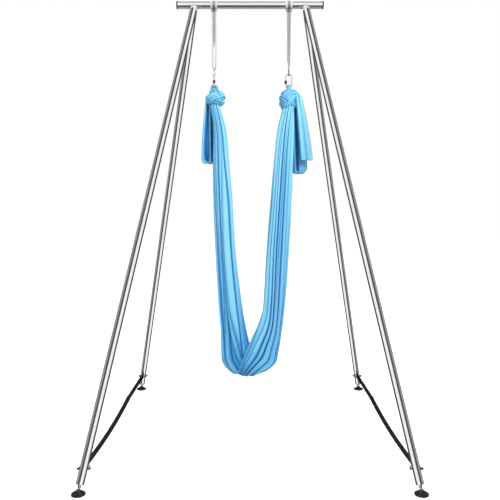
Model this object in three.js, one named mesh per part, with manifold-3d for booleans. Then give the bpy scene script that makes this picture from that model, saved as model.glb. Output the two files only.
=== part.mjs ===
// A free-standing aerial-yoga rig: a beam on two pairs of splayed tube legs, and a cloth hammock
// that hangs from the beam on two webbing slings and two screw-gate carabiners.
// Millimetres, +Z up. The origin is on the floor under the middle of the beam, X runs along the
// beam and the front legs stand on the -Y side.
import * as THREE from 'three';
import { mergeVertices } from 'three/addons/utils/BufferGeometryUtils.js';
import Module from 'manifold-3d';

const wasm = await Module();
wasm.setup();

// Fits and roundness
const fit_gap = 0.3;
const socket_gap = 0.6;
const strap_gap = 0.5;
const bolt_clearance = 0.3;
const sling_clearance = 0.5;
const cut_overrun = 60;
const merge_tolerance = 0.0005;
const beam_sides = 20;
const tube_sides = 16;
const small_sides = 10;
const rod_sides = 8;

// Stand
const beam_axis_height = 2900;
const beam_length = 980;
const beam_diameter = 50;
const beam_wall = 2;
const beam_overhang = 120;
const foot_spacing_x = 1860;
const foot_spacing_y = 1900;
const leg_diameter = 46;
const leg_wall = 1.5;
const stub_reach = 107;
const spigot_length = 90;

// Beam end caps
const cap_flange = 4;
const cap_edge = 1.5;
const cap_plug_length = 18;
const cap_plug_wall = 2.5;

// Levelling feet
const foot_reach = 34;
const plug_length = 25;
const stud_diameter = 12;
const stud_reach = 88;
const lock_nut_flats = 19;
const lock_nut_height = 10;
const collar_flats = 17;
const collar_height = 7;
const collar_gap = 1;
const neck_diameter = 7;
const ball_diameter = 14;
const ball_height = 21;
const pad_diameter = 78;
const pad_height = 28;
const pad_rim_height = 8;
const pad_edge = 2;
const pad_shoulder_diameter = 46;
const pad_shoulder_height = 18;
const pad_top_diameter = 25;
const cup_lip_height = 3;
const cup_mouth_diameter = 20;

// Floor straps with their bolts, bails and buckles
const strap_height = 130;
const strap_width = 25;
const strap_thickness = 2;
const strap_fold_length = 95;
const bolt_diameter = 8;
const bolt_head_flats = 13;
const bolt_head_height = 5;
const bolt_end_reach = 4;
const bail_rod = 6;
const bail_eye_diameter = 17;
const bail_eye_offset = 28.5;
const bail_reach = 34;
const bail_corner_radius = 9;
const buckle_place_y = 312;
const buckle_width = 35;
const buckle_length = 30;
const buckle_thickness = 3;
const buckle_bar = 4;
const buckle_slot = 7;

// Slings
const hang_spacing = 500;
const hang_shift = 10;
const sling_drop = 499;
const sling_top_width = { left: 33, right: 27 };
const sling_low_width = { left: 26, right: 25 };
const sling_hang_turn = { left: 0, right: 0.66 };
const sling_layer = 2.4;
const hitch_wrap_width = 25;
const hitch_bight_width = 48;
const hitch_bight_depth = 17;
const hitch_bight_height = 13;
const sling_strand = 8;
const sling_eye_radius = 9;
const sling_eye_length = 30;
const sling_twist_length = 60;

// Carabiners
const carabiner_height = 100;
const carabiner_width = 50;
const carabiner_bar = 10;
const nose_height = -18;
const hinge_height = 19;
const hinge_shoulder = 6;
const tongue_reach = 4;
const tongue_thickness = 3.4;
const fork_slot = 4.2;
const fork_depth = 5.8;
const gate_diameter = 9.4;
const gate_end_gap = 0.5;
const gate_crown = 5.4;
const gate_pin = 3;
const pin_clearance = 0.4;
const sleeve_diameter = 15;
const sleeve_bore = 10.6;
const sleeve_length = 22;
const sleeve_edge = 1.2;

// Hammock cloth
const knot_top_gap = 5;
const arch_strand = 20;
const arch_gap = 0.8;
const cloth_gap = 0.6;
const arch_leg_length = 34;
const left_knot = { width: 133, depth: 116, height: 128, shift: 3.5, band_slants: [0.5, -0.75] };
const right_knot = { width: 154, depth: 122, height: 141, shift: 11, band_slants: [0.85, -0.6] };
const knot_core_share = 0.8;
const knot_band_sides = 6;
const knot_band_share = 0.36;
const knot_band_nod = 0.25;
const loop_drop = 2020;
const loop_shoulder_drop = 186;
const loop_half_depth = 100;
const loop_folds = 10;
const loop_fold_share = 0.1;
const loop_wave_share = 0.035;
const loop_half_turn = -Math.PI;
const loop_crowding_share = 0.4;
const loop_sides = 40;
const loop_rings = 23;
const tail_sides = 16;
const tail_rings = 8;
const tail_folds = 4;
const tail_fold_share = 0.14;

// Edges of the hanging loop from the left knot round the bottom to the right knot. Columns: inner
// edge across and up, outer edge across and up, half depth; across from the middle of the two
// slings in shares of loop_half_width, up from the low point in shares of loop_height.
const loop_edge_shares = [
  [-0.860, 1.014, -1.120, 1.014, 0.40],
  [-0.680, 0.925, -1.040, 0.925, 0.50],
  [-0.584, 0.801, -1.064, 0.801, 0.55],
  [-0.492, 0.668, -1.056, 0.668, 0.58],
  [-0.412, 0.482, -1.000, 0.482, 0.60],
  [-0.256, 0.293, -0.924, 0.293, 0.70],
  [-0.170, 0.218, -0.860, 0.185, 0.80],
  [-0.128, 0.158, -0.772, 0.067, 0.95],
  [-0.088, 0.141, -0.440, 0.011, 1.00],
  [-0.064, 0.136, -0.040, 0.000, 1.00],
  [-0.024, 0.141, 0.340, 0.016, 1.00],
  [0.048, 0.160, 0.696, 0.052, 0.95],
  [0.220, 0.225, 0.888, 0.168, 0.80],
  [0.320, 0.293, 0.972, 0.293, 0.70],
  [0.392, 0.482, 1.052, 0.482, 0.60],
  [0.512, 0.668, 1.096, 0.668, 0.58],
  [0.600, 0.801, 1.128, 0.801, 0.55],
  [0.700, 0.925, 1.160, 0.925, 0.50],
  [0.860, 1.014, 1.160, 1.014, 0.40],
];

// Tails: each row is a level, as height up in shares of loop_height, left and right edge across in
// shares of loop_half_width, front and back edge in shares of loop_half_depth.
const left_tail_shares = [
  [1.018, -1.24, -1.02, 0.25, 0.78],
  [0.960, -1.30, -1.02, 0.52, 1.02],
  [0.900, -1.33, -1.02, 0.62, 1.20],
  [0.850, -1.37, -1.03, 0.64, 1.25],
  [0.803, -1.37, -1.05, 0.64, 1.20],
];
const right_tail_shares = [
  [1.052, 1.18, 1.36, -0.10, 0.42],
  [0.990, 1.20, 1.46, -0.20, 0.52],
  [0.925, 1.22, 1.56, -0.25, 0.55],
  [0.870, 1.24, 1.64, -0.25, 0.50],
  [0.816, 1.28, 1.67, -0.22, 0.30],
];
const right_tail_back_shares = [
  [0.990, 1.20, 1.40, 0.10, 0.60],
  [0.925, 1.20, 1.46, 0.10, 0.80],
  [0.850, 1.18, 1.50, 0.10, 0.90],
  [0.763, 1.16, 1.46, 0.15, 0.85],
];

// Sizes that follow
const leg_top_spacing = beam_length - 2 * beam_overhang;
const beam_radius = beam_diameter / 2;
const leg_radius = leg_diameter / 2;
const spigot_radius = leg_radius - leg_wall - fit_gap;
const bar_radius = carabiner_bar / 2;
const arc_radius = (carabiner_width - carabiner_bar) / 2;
const straight_half = carabiner_height / 2 - bar_radius - arc_radius;
const left_hang_x = hang_shift - hang_spacing / 2;
const right_hang_x = hang_shift + hang_spacing / 2;
const carabiner_centre_height = beam_axis_height - sling_drop;
const hammock_low_point = carabiner_centre_height - loop_drop;
const loop_height = loop_drop - loop_shoulder_drop;
const loop_half_width = hang_spacing / 2;
const top_bar_height = carabiner_centre_height + straight_half + arc_radius;
const bottom_bar_drop = straight_half + arc_radius;

// Materials
const steel = new THREE.MeshStandardMaterial({ color: 0xc9ccd0, roughness: 0.16, metalness: 1 });
const zinc = new THREE.MeshStandardMaterial({ color: 0xb4b7ba, roughness: 0.3, metalness: 1 });
const black_steel = new THREE.MeshStandardMaterial({ color: 0x1d1d1f, roughness: 0.45, metalness: 0.5 });
const black_plastic = new THREE.MeshStandardMaterial({ color: 0x2a2b2d, roughness: 0.55, metalness: 0 });
const rubber = new THREE.MeshStandardMaterial({ color: 0x303133, roughness: 0.7, metalness: 0 });
const black_webbing = new THREE.MeshStandardMaterial({ color: 0x1b1b1c, roughness: 0.85, metalness: 0 });
const grey_webbing = new THREE.MeshStandardMaterial({ color: 0xc4c5c6, roughness: 0.8, metalness: 0 });
const red_sleeve = new THREE.MeshStandardMaterial({ color: 0x8b2f3c, roughness: 0.35, metalness: 0.6 });
const blue_cloth = new THREE.MeshStandardMaterial({ color: 0x6ec0f8, roughness: 0.6, metalness: 0 });

// Geometry helpers

// Keeps only positions, merges shared vertices, drops empty triangles and turns the faces out.
function closed(geometry) {
  const bare = new THREE.BufferGeometry();
  bare.setAttribute('position', geometry.getAttribute('position').clone());
  if (geometry.index) {
    bare.setIndex(geometry.index.clone());
  }
  const merged = mergeVertices(bare, merge_tolerance);
  const source = merged.index.array;
  const kept = [];
  for (let i = 0; i < source.length; i += 3) {
    const [a, b, c] = [source[i], source[i + 1], source[i + 2]];
    if (a !== b && b !== c && c !== a) {
      kept.push([a, b, c]);
    }
  }
  const point = (index) => new THREE.Vector3().fromBufferAttribute(merged.attributes.position, index);
  const volume = kept.reduce((sum, [a, b, c]) => sum + point(a).dot(point(b).cross(point(c))), 0);
  const facing = volume < 0 ? kept.map(([a, b, c]) => [a, c, b]) : kept;
  merged.setIndex(facing.flat());
  return merged;
}

function toSolid(geometry) {
  const mesh = closed(geometry);
  return new wasm.Manifold(new wasm.Mesh({
    numProp: 3,
    vertProperties: new Float32Array(mesh.attributes.position.array),
    triVerts: new Uint32Array(mesh.index.array),
  }));
}

function toGeometry(solid) {
  const mesh = solid.getMesh();
  const geometry = new THREE.BufferGeometry();
  geometry.setAttribute('position', new THREE.BufferAttribute(new Float32Array(mesh.vertProperties), 3));
  geometry.setIndex(new THREE.BufferAttribute(new Uint32Array(mesh.triVerts), 1));
  return geometry;
}

function joined(...geometries) {
  return toGeometry(geometries.map(toSolid).reduce((sum, next) => sum.add(next)));
}

function cut(geometry, ...cutters) {
  return toGeometry(cutters.map(toSolid).reduce((rest, next) => rest.subtract(next), toSolid(geometry)));
}

// Turns a profile of [radius, height] points about Z. The profile runs from axis to axis.
function revolved(profile, sides = tube_sides) {
  const points = profile.map(([radius, height]) => new THREE.Vector2(radius, height));
  return closed(new THREE.LatheGeometry(points, sides).rotateX(Math.PI / 2));
}

// The same for a profile that goes round a ring and closes on itself.
function ringed(profile, sides = tube_sides) {
  return revolved([...profile, profile[0]], sides);
}

function cylinder(radius, bottom, top, sides = small_sides) {
  return revolved([[0, bottom], [radius, bottom], [radius, top], [0, top]], sides);
}

// A flat shape pushed along Z, half to each side of the XY plane.
function pushed(shape, depth, sides = small_sides) {
  const options = { depth, bevelEnabled: false, curveSegments: sides / 2 };
  return closed(new THREE.ExtrudeGeometry(shape, options).translate(0, 0, -depth / 2));
}

// Turns a piece drawn in XY and pushed along Z so that it is drawn in YZ and pushed along X.
function alongX(geometry) {
  const turn = new THREE.Matrix4().makeBasis(
    new THREE.Vector3(0, 1, 0),
    new THREE.Vector3(0, 0, 1),
    new THREE.Vector3(1, 0, 0),
  );
  return geometry.applyMatrix4(turn);
}

function circle(radius, centre_x = 0, centre_y = 0) {
  return new THREE.Shape().absarc(centre_x, centre_y, radius, 0, 2 * Math.PI, false);
}

function hexagon(flats) {
  const corner = flats / Math.sqrt(3);
  const angles = [0, 1, 2, 3, 4, 5].map((i) => (i * Math.PI) / 3);
  return new THREE.Shape(angles.map((a) => new THREE.Vector2(corner * Math.cos(a), corner * Math.sin(a))));
}

function box(width, depth, height) {
  return closed(new THREE.BoxGeometry(width, depth, height));
}

function rod(radius, points, steps, sides = small_sides) {
  const path = new THREE.CatmullRomCurve3(points);
  const options = { steps, bevelEnabled: false, extrudePath: path, curveSegments: sides / 2 };
  return closed(new THREE.ExtrudeGeometry(circle(radius), options));
}

// Joins rings of equally many points into one closed skin with a fan at each end.
function lofted(rings) {
  const sides = rings[0].length;
  const points = rings.flat();
  const faces = [];
  for (let ring = 0; ring + 1 < rings.length; ring += 1) {
    for (let side = 0; side < sides; side += 1) {
      const a = ring * sides + side;
      const b = ring * sides + ((side + 1) % sides);
      faces.push([a, b, b + sides], [a, b + sides, a + sides]);
    }
  }
  for (const [ring, flip] of [[0, true], [rings.length - 1, false]]) {
    const middle = rings[ring].reduce((sum, p) => sum.add(p), new THREE.Vector3());
    points.push(middle.divideScalar(sides));
    for (let side = 0; side < sides; side += 1) {
      const a = ring * sides + side;
      const b = ring * sides + ((side + 1) % sides);
      faces.push(flip ? [b, a, points.length - 1] : [a, b, points.length - 1]);
    }
  }
  const geometry = new THREE.BufferGeometry().setFromPoints(points);
  geometry.setIndex(faces.flat());
  return closed(geometry);
}

const rig = new THREE.Group();

function add(name, geometry, material, parent = rig) {
  const mesh = new THREE.Mesh(geometry, material);
  mesh.name = name;
  parent.add(mesh);
  return mesh;
}

// Beam and caps
function beamTube() {
  const half = beam_length / 2 - cap_flange - fit_gap;
  const inner = beam_radius - beam_wall;
  const profile = [[beam_radius, -half], [beam_radius, half], [inner, half], [inner, -half]];
  return ringed(profile, beam_sides).rotateY(Math.PI / 2);
}

function beamCap() {
  const plug = beam_radius - beam_wall - fit_gap;
  const inside = plug - cap_plug_wall;
  return revolved([
    [0, cap_flange],
    [beam_radius - cap_edge, cap_flange],
    [beam_radius, cap_flange - cap_edge],
    [beam_radius, 0],
    [plug, 0],
    [plug, -cap_plug_length],
    [inside, -cap_plug_length],
    [inside, 0],
    [0, 0],
  ], beam_sides);
}

function addBeam() {
  const beam = new THREE.Group();
  beam.position.z = beam_axis_height;
  rig.add(beam);
  add('beam_tube', beamTube(), steel, beam);
  for (const [name, side] of [['beam_cap_left', -1], ['beam_cap_right', 1]]) {
    const cap = add(name, beamCap(), black_plastic, beam);
    cap.position.x = side * (beam_length / 2 - cap_flange);
    cap.rotation.y = (side * Math.PI) / 2;
  }
}

// Legs. A leg's own frame has its origin at the ball of its foot and +Z up the leg.
function legFrame(side, end) {
  const ball = new THREE.Vector3((side * foot_spacing_x) / 2, (end * foot_spacing_y) / 2, ball_height);
  const top = new THREE.Vector3((side * leg_top_spacing) / 2, 0, beam_axis_height);
  const up = top.clone().sub(ball).normalize();
  const forward = new THREE.Vector3().crossVectors(up, new THREE.Vector3(1, 0, 0)).normalize();
  const across = new THREE.Vector3().crossVectors(forward, up);
  const matrix = new THREE.Matrix4().makeBasis(across, forward, up).setPosition(ball);
  return { ball, up, matrix, inverse: matrix.clone().invert(), length: top.distanceTo(ball) };
}

// A leg tube whose lower end is drawn in to a spigot that enters the next tube down.
function socketedTube(top, seam) {
  const tip = seam - spigot_length;
  const inner = leg_radius - leg_wall;
  const spigot_inner = spigot_radius - leg_wall;
  return ringed([
    [leg_radius, top],
    [leg_radius, seam],
    [spigot_radius, seam],
    [spigot_radius, tip],
    [spigot_inner, tip],
    [spigot_inner, seam + leg_wall],
    [inner, seam + leg_wall],
    [inner, top],
  ]);
}

// The stub is coped to the beam and mitred to the stub of the other leg of its pair.
function stub(leg, end) {
  const blank = socketedTube(leg.length, leg.length - stub_reach);
  const beam = cylinder(beam_radius + fit_gap, -beam_length, beam_length, beam_sides);
  beam.rotateY(Math.PI / 2).translate(0, 0, beam_axis_height).applyMatrix4(leg.inverse);
  const depth = 2 * cut_overrun;
  const far_side = box(beam_length, depth, 2 * beam_axis_height);
  far_side.translate(0, end * (fit_gap / 2 - depth / 2), beam_axis_height).applyMatrix4(leg.inverse);
  return cut(blank, beam, far_side);
}

function boltPoint(leg) {
  const along = (strap_height - ball_height) / leg.up.z;
  return leg.ball.clone().addScaledVector(leg.up, along);
}

function lowerTube(leg, top) {
  const inner = leg_radius - leg_wall;
  const blank = ringed([
    [leg_radius, foot_reach],
    [leg_radius, top],
    [inner, top],
    [inner, foot_reach],
  ]);
  const hole = cylinder(bolt_diameter / 2 + bolt_clearance, -cut_overrun, cut_overrun);
  hole.rotateY(Math.PI / 2).translate(...boltPoint(leg)).applyMatrix4(leg.inverse);
  return cut(blank, hole);
}

function addLeg(name, side, end) {
  const leg = legFrame(side, end);
  const group = new THREE.Group();
  group.applyMatrix4(leg.matrix);
  rig.add(group);
  const upper_seam = leg.length - stub_reach;
  const section = (upper_seam - foot_reach) / 3;
  const middle_seam = upper_seam - section;
  const lower_seam = middle_seam - section;
  add(`leg_stub_${name}`, stub(leg, end), steel, group);
  add(`leg_upper_${name}`, socketedTube(upper_seam - fit_gap, middle_seam), steel, group);
  add(`leg_middle_${name}`, socketedTube(middle_seam - fit_gap, lower_seam), steel, group);
  add(`leg_lower_${name}`, lowerTube(leg, lower_seam - fit_gap), steel, group);
  addFoot(name, leg, group);
  addStrapFastening(name, leg, end);
}

// Levelling feet
function footPlug() {
  const outer = leg_radius - leg_wall - fit_gap;
  const bore = stud_diameter / 2 + socket_gap;
  const top = foot_reach + plug_length;
  return ringed([[outer, foot_reach], [outer, top], [bore, top], [bore, foot_reach]]);
}

function lockNut() {
  const shape = hexagon(lock_nut_flats);
  shape.holes.push(circle(stud_diameter / 2 + socket_gap));
  return pushed(shape, lock_nut_height);
}

function levellingStud() {
  const radius = ball_diameter / 2;
  const neck = neck_diameter / 2;
  const collar_top = foot_reach - fit_gap - lock_nut_height - collar_gap;
  const collar_bottom = collar_top - collar_height;
  const ball_arc = [0, 1, 2, 3, 4].map((i) => (i * Math.PI) / 6);
  const ball = ball_arc.map((a) => [radius * Math.sin(a), -radius * Math.cos(a)]);
  const rise = Math.sqrt(radius ** 2 - neck ** 2);
  const turned = revolved([
    ...ball,
    [neck, rise],
    [neck, collar_bottom + collar_gap],
    [stud_diameter / 2, collar_bottom + collar_gap],
    [stud_diameter / 2, stud_reach],
    [0, stud_reach],
  ], small_sides);
  const collar = pushed(hexagon(collar_flats), collar_height);
  collar.translate(0, 0, (collar_top + collar_bottom) / 2);
  return joined(turned, collar);
}

// A domed pad with a cup that the ball snaps into and a mouth that lets the stud lean.
function footPad() {
  const cup = ball_diameter / 2 + socket_gap;
  const lip = Math.sqrt(cup ** 2 - cup_lip_height ** 2);
  const start = Math.acos(cup_lip_height / cup);
  const steps = 4;
  const arc = Array.from({ length: steps }, (_, i) => start + ((Math.PI - start) * (i + 1)) / steps);
  return revolved([
    [0, 0],
    [pad_diameter / 2 - pad_edge, 0],
    [pad_diameter / 2, pad_edge],
    [pad_diameter / 2, pad_rim_height],
    [pad_diameter / 2 - pad_edge, pad_rim_height + pad_edge],
    [pad_shoulder_diameter / 2, pad_shoulder_height],
    [pad_top_diameter / 2, pad_height],
    [cup_mouth_diameter / 2, pad_height],
    [lip, ball_height + cup_lip_height],
    ...arc.map((a) => [cup * Math.sin(a), ball_height + cup * Math.cos(a)]),
  ], tube_sides);
}

function addFoot(name, leg, group) {
  add(`foot_plug_${name}`, footPlug(), zinc, group);
  const nut = add(`lock_nut_${name}`, lockNut(), zinc, group);
  nut.position.z = foot_reach - fit_gap - lock_nut_height / 2;
  add(`levelling_stud_${name}`, levellingStud(), zinc, group);
  const pad = add(`foot_pad_${name}`, footPad(), rubber);
  pad.position.set(leg.ball.x, leg.ball.y, 0);
}

// Cross bolt with head and nut, drawn along X about its middle
function strapBolt() {
  const face = bail_eye_offset + bail_rod / 2 + bolt_clearance;
  const shank = cylinder(bolt_diameter / 2, -face, face + bolt_head_height + bolt_end_reach);
  const head = pushed(hexagon(bolt_head_flats), bolt_head_height);
  const nut = head.clone();
  head.translate(0, 0, -face - bolt_head_height / 2);
  nut.translate(0, 0, face + bolt_head_height / 2);
  return joined(shank, head, nut).rotateY(Math.PI / 2);
}

// Bent-rod bail with an eye at each end, hung on the cross bolt; the webbing loops over its bar.
function strapBail(inward) {
  const side = bail_eye_offset;
  const bend = bail_corner_radius;
  const corner = bend * (1 - Math.SQRT1_2);
  const half = [
    [side, 0],
    [side, (bail_reach - bend) / 2],
    [side, bail_reach - bend],
    [side - corner, bail_reach - corner],
    [side - bend, bail_reach],
  ];
  const other = half.map(([x, y]) => [-x, y]).reverse();
  const points = [...half, [0, bail_reach], ...other];
  const path = points.map(([x, y]) => new THREE.Vector3(x, inward * y, 0));
  const parts = [rod(bail_rod / 2, path, 12, rod_sides)];
  for (const x of [-side, side]) {
    parts.push(cylinder(bail_eye_diameter / 2, -bail_rod / 2, bail_rod / 2).rotateY(Math.PI / 2).translate(x, 0, 0));
  }
  const bore = cylinder(bolt_diameter / 2 + bolt_clearance, -cut_overrun, cut_overrun).rotateY(Math.PI / 2);
  return cut(joined(...parts), bore);
}

function addStrapFastening(name, leg, end) {
  const point = boltPoint(leg);
  add(`strap_bolt_${name}`, strapBolt(), zinc).position.copy(point);
  add(`strap_bail_${name}`, strapBail(-end), black_steel).position.copy(point);
}

// Outline of a strip of even thickness along a path in the plane.
function stripShape(path, thickness) {
  const edge = (sign) => path.map((point, i) => {
    const before = path[Math.max(i - 1, 0)];
    const after = path[Math.min(i + 1, path.length - 1)];
    const along = after.clone().sub(before).normalize();
    return new THREE.Vector2(point.x - sign * along.y * thickness / 2, point.y + sign * along.x * thickness / 2);
  });
  return new THREE.Shape([...edge(1), ...edge(-1).reverse()]);
}

// Webbing from bail to bail: each end goes round its bar and is sewn back under the strap, and
// near the rear leg the strap climbs over the middle bar of the buckle.
function floorStrap(half_span) {
  const loop = bail_rod / 2 + strap_gap + strap_thickness / 2;
  const under = -(strap_thickness + fit_gap);
  const turn = (centre, facing) => {
    const steps = 7;
    return Array.from({ length: steps + 1 }, (_, i) => {
      const angle = -Math.PI / 2 + (i * Math.PI) / steps;
      return new THREE.Vector2(centre + facing * loop * Math.cos(angle), loop * Math.sin(angle));
    });
  };
  const level = loop;
  const climb = buckle_thickness + 2 * fit_gap + strap_thickness;
  const reach = buckle_slot / 2 + buckle_bar / 2;
  const crest = buckle_bar / 2 + fit_gap + strap_thickness / 2;
  const point = (y, z) => new THREE.Vector2(y, z);
  const rear = turn(half_span, 1);
  const front = turn(-half_span, -1).reverse();
  const taper = loop - under - strap_thickness / 2;
  const path = [
    point(half_span - strap_fold_length, level + under),
    point(half_span - 2 * taper - 2 * loop, level + under),
    ...rear,
    point(half_span - 2 * taper, level),
    point(half_span - strap_fold_length, level),
    point(buckle_place_y + reach + crest, level),
    point(buckle_place_y + crest, level + climb),
    point(buckle_place_y - crest, level + climb),
    point(buckle_place_y - reach - crest, level),
    point(-half_span + strap_fold_length, level),
    point(-half_span + 2 * taper, level),
    ...front,
    point(-half_span + 2 * taper + 2 * loop, level + under),
    point(-half_span + strap_fold_length, level + under),
  ];
  return alongX(pushed(stripShape(path, strap_thickness), strap_width));
}

function strapBuckle() {
  const frame = new THREE.Shape();
  const [half_x, half_y] = [buckle_width / 2, buckle_length / 2];
  const corner = buckle_bar / 2;
  frame.moveTo(-half_x + corner, -half_y);
  frame.lineTo(half_x - corner, -half_y);
  frame.lineTo(half_x, -half_y + corner);
  frame.lineTo(half_x, half_y - corner);
  frame.lineTo(half_x - corner, half_y);
  frame.lineTo(-half_x + corner, half_y);
  frame.lineTo(-half_x, half_y - corner);
  frame.lineTo(-half_x, -half_y + corner);
  for (const side of [-1, 1]) {
    const [near, far] = [side * (buckle_bar / 2), side * (buckle_bar / 2 + buckle_slot)];
    const width = strap_width / 2 + 2 * fit_gap;
    const slot = new THREE.Path();
    slot.moveTo(-width, near);
    slot.lineTo(width, near);
    slot.lineTo(width, far);
    slot.lineTo(-width, far);
    frame.holes.push(slot);
  }
  return pushed(frame, buckle_thickness);
}

function addFloorStraps() {
  for (const [name, side] of [['left', -1], ['right', 1]]) {
    const point = boltPoint(legFrame(side, 1));
    const level = bail_rod / 2 + strap_gap + strap_thickness / 2;
    const strap = add(`floor_strap_${name}`, floorStrap(point.y - bail_reach), black_webbing);
    strap.position.set(point.x, 0, strap_height);
    const buckle = add(`strap_buckle_${name}`, strapBuckle(), black_plastic);
    const rise = strap_thickness / 2 + fit_gap + buckle_thickness / 2;
    buckle.position.set(point.x, buckle_place_y, strap_height + level + rise);
  }
}

// Slings. The frame of a sling has its origin on the beam's axis.
function slingSection(centre_z, angle, width) {
  const [half, layer] = [width / 2, sling_layer];
  const [lip, groove] = [layer / 3, half - layer / 2];
  const outline = [
    [groove, 0], [half, lip], [half, layer], [-half, layer], [-half, lip],
    [-groove, 0], [-half, -lip], [-half, -layer], [half, -layer], [half, -lip],
  ];
  return outline.map(([w, n]) => {
    const x = w * Math.cos(angle) - n * Math.sin(angle);
    const y = w * Math.sin(angle) + n * Math.cos(angle);
    return new THREE.Vector3(x, y, centre_z);
  });
}

function sling(name, side) {
  const inner = beam_radius + sling_clearance;
  const outer = inner + sling_layer;
  const wrap = circle(outer);
  wrap.holes.push(circle(inner));
  const wraps = [-1, 1].map((s) => {
    const band = alongX(pushed(wrap, hitch_wrap_width, beam_sides));
    return band.translate((s * (hitch_wrap_width + sling_layer / 2)) / 2, 0, 0);
  });
  const bight_shape = new THREE.Shape();
  bight_shape.absellipse(0, 0, hitch_bight_width / 2, hitch_bight_depth / 2, 0, 2 * Math.PI, false);
  const bight_middle = -outer - hitch_bight_height / 2 + sling_layer * 0.6;
  const bight = pushed(bight_shape, hitch_bight_height).translate(0, 0, bight_middle);
  const eye_centre = slingEyeCentre() - beam_axis_height;
  const split = eye_centre + sling_eye_length;
  const top = bight_middle;
  const quarter = Math.PI / 2;
  const hang = sling_hang_turn[name];
  const end = side > 0 ? quarter : 0;
  const [wide, narrow] = [sling_top_width[name], sling_low_width[name]];
  const sections = [
    [top, 0, wide],
    [top - sling_twist_length, hang / 2, wide],
    [top - 2 * sling_twist_length, hang, wide],
    [split + sling_twist_length, hang, narrow],
    [split + sling_twist_length / 2, (hang + end) / 2, narrow * 0.9],
    [split, end, sling_strand * 1.6],
  ];
  const strap = lofted(sections.map(([z, angle, width]) => slingSection(z, angle, width)));
  return joined(...wraps, bight, strap, slingEye(side, split, eye_centre));
}

function slingEyeCentre() {
  const contact = top_bar_height - bar_radius - 0.8;
  return contact + sling_eye_radius;
}

// The gathered webbing goes round the carabiner's top bar as one strand.
function slingEye(side, split, centre) {
  const radius = sling_eye_radius + sling_strand / 2;
  const steps = 8;
  const bend = Array.from({ length: steps + 1 }, (_, i) => {
    const angle = (i * Math.PI) / steps;
    return [radius * Math.cos(angle), centre - radius * Math.sin(angle)];
  });
  const lift = (split - centre) / 3;
  const half = [[0, split + sling_layer], [radius * 0.5, split - lift], [radius * 0.97, centre + lift / 2]];
  const back = half.map(([n, z], i) => [-n, i === 0 ? z + sling_layer / 2 : z]).reverse();
  const path = [...half, ...bend, ...back];
  const across = side > 0;
  const points = path.map(([n, z]) => new THREE.Vector3(across ? 0 : n, across ? n : 0, z));
  return rod(sling_strand / 2, points, 16, rod_sides);
}

function addSlings() {
  for (const [name, side, x] of [['left', -1, left_hang_x], ['right', 1, right_hang_x]]) {
    add(`sling_${name}`, sling(name, side), grey_webbing).position.set(x, 0, beam_axis_height);
  }
}

// Carabiners, drawn in XZ with the gate on the -X side
function carabinerBody() {
  const arc = (centre, from, to, steps) => Array.from({ length: steps + 1 }, (_, i) => {
    const angle = from + ((to - from) * i) / steps;
    return new THREE.Vector3(arc_radius * Math.cos(angle), 0, centre + arc_radius * Math.sin(angle));
  });
  const points = [
    new THREE.Vector3(-arc_radius, 0, nose_height),
    ...arc(-straight_half, Math.PI, 2 * Math.PI, 8),
    new THREE.Vector3(arc_radius, 0, 0),
    ...arc(straight_half, 0, Math.PI, 8),
    new THREE.Vector3(-arc_radius, 0, hinge_height - tongue_reach),
  ];
  const path = new THREE.CurvePath();
  for (let i = 0; i + 1 < points.length; i += 1) {
    path.add(new THREE.LineCurve3(points[i], points[i + 1]));
  }
  const bar = rod(bar_radius, points, 24, small_sides);
  const flank = box(carabiner_bar + bar_radius, carabiner_bar, 2 * (hinge_shoulder + tongue_reach));
  const drop = hinge_height + hinge_shoulder - (hinge_shoulder + tongue_reach);
  const away = tongue_thickness / 2 + carabiner_bar / 2;
  const flanks = [-1, 1].map((s) => flank.clone().translate(-arc_radius, s * away, drop));
  const pin_hole = cylinder(gate_pin / 2 + pin_clearance, -carabiner_bar, carabiner_bar);
  pin_hole.rotateX(Math.PI / 2).translate(-arc_radius, 0, hinge_height);
  return cut(bar, ...flanks, pin_hole);
}

// The gate forks round the body's tongue and turns on its pin. Its frame is the pin's centre.
function gate() {
  const radius = gate_diameter / 2;
  const bottom = nose_height + gate_end_gap - hinge_height;
  const stem = revolved([
    [0, bottom],
    [radius, bottom],
    [radius, gate_crown * 0.45],
    [radius * 0.75, gate_crown * 0.76],
    [0, gate_crown],
  ], small_sides);
  const slot_height = 2 * gate_crown + fork_depth;
  const slot = box(2 * gate_diameter, fork_slot, slot_height).translate(0, 0, slot_height / 2 - fork_depth);
  const pin = cylinder(gate_pin / 2, -radius * 0.9, radius * 0.9, 8).rotateX(Math.PI / 2);
  return joined(cut(stem, slot), pin);
}

function screwSleeve() {
  const [outer, inner, half] = [sleeve_diameter / 2, sleeve_bore / 2, sleeve_length / 2];
  return ringed([
    [outer - sleeve_edge, -half],
    [outer, -half + sleeve_edge],
    [outer, half - sleeve_edge],
    [outer - sleeve_edge, half],
    [inner, half],
    [inner, -half],
  ], small_sides);
}

function hangFrame(side, x) {
  const group = new THREE.Group();
  group.position.set(x, 0, carabiner_centre_height);
  group.rotation.z = side < 0 ? Math.PI / 2 : 0;
  rig.add(group);
  return group;
}

function addCarabiners() {
  for (const [name, side, x] of [['left', -1, left_hang_x], ['right', 1, right_hang_x]]) {
    const group = hangFrame(side, x);
    add(`carabiner_${name}`, carabinerBody(), steel, group);
    add(`carabiner_gate_${name}`, gate(), steel, group).position.set(-arc_radius, 0, hinge_height);
    const sleeve = add(`screw_sleeve_${name}`, screwSleeve(), red_sleeve, group);
    sleeve.position.set(-arc_radius, 0, nose_height + gate_end_gap + sleeve_length / 2);
  }
}

// Hammock

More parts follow.
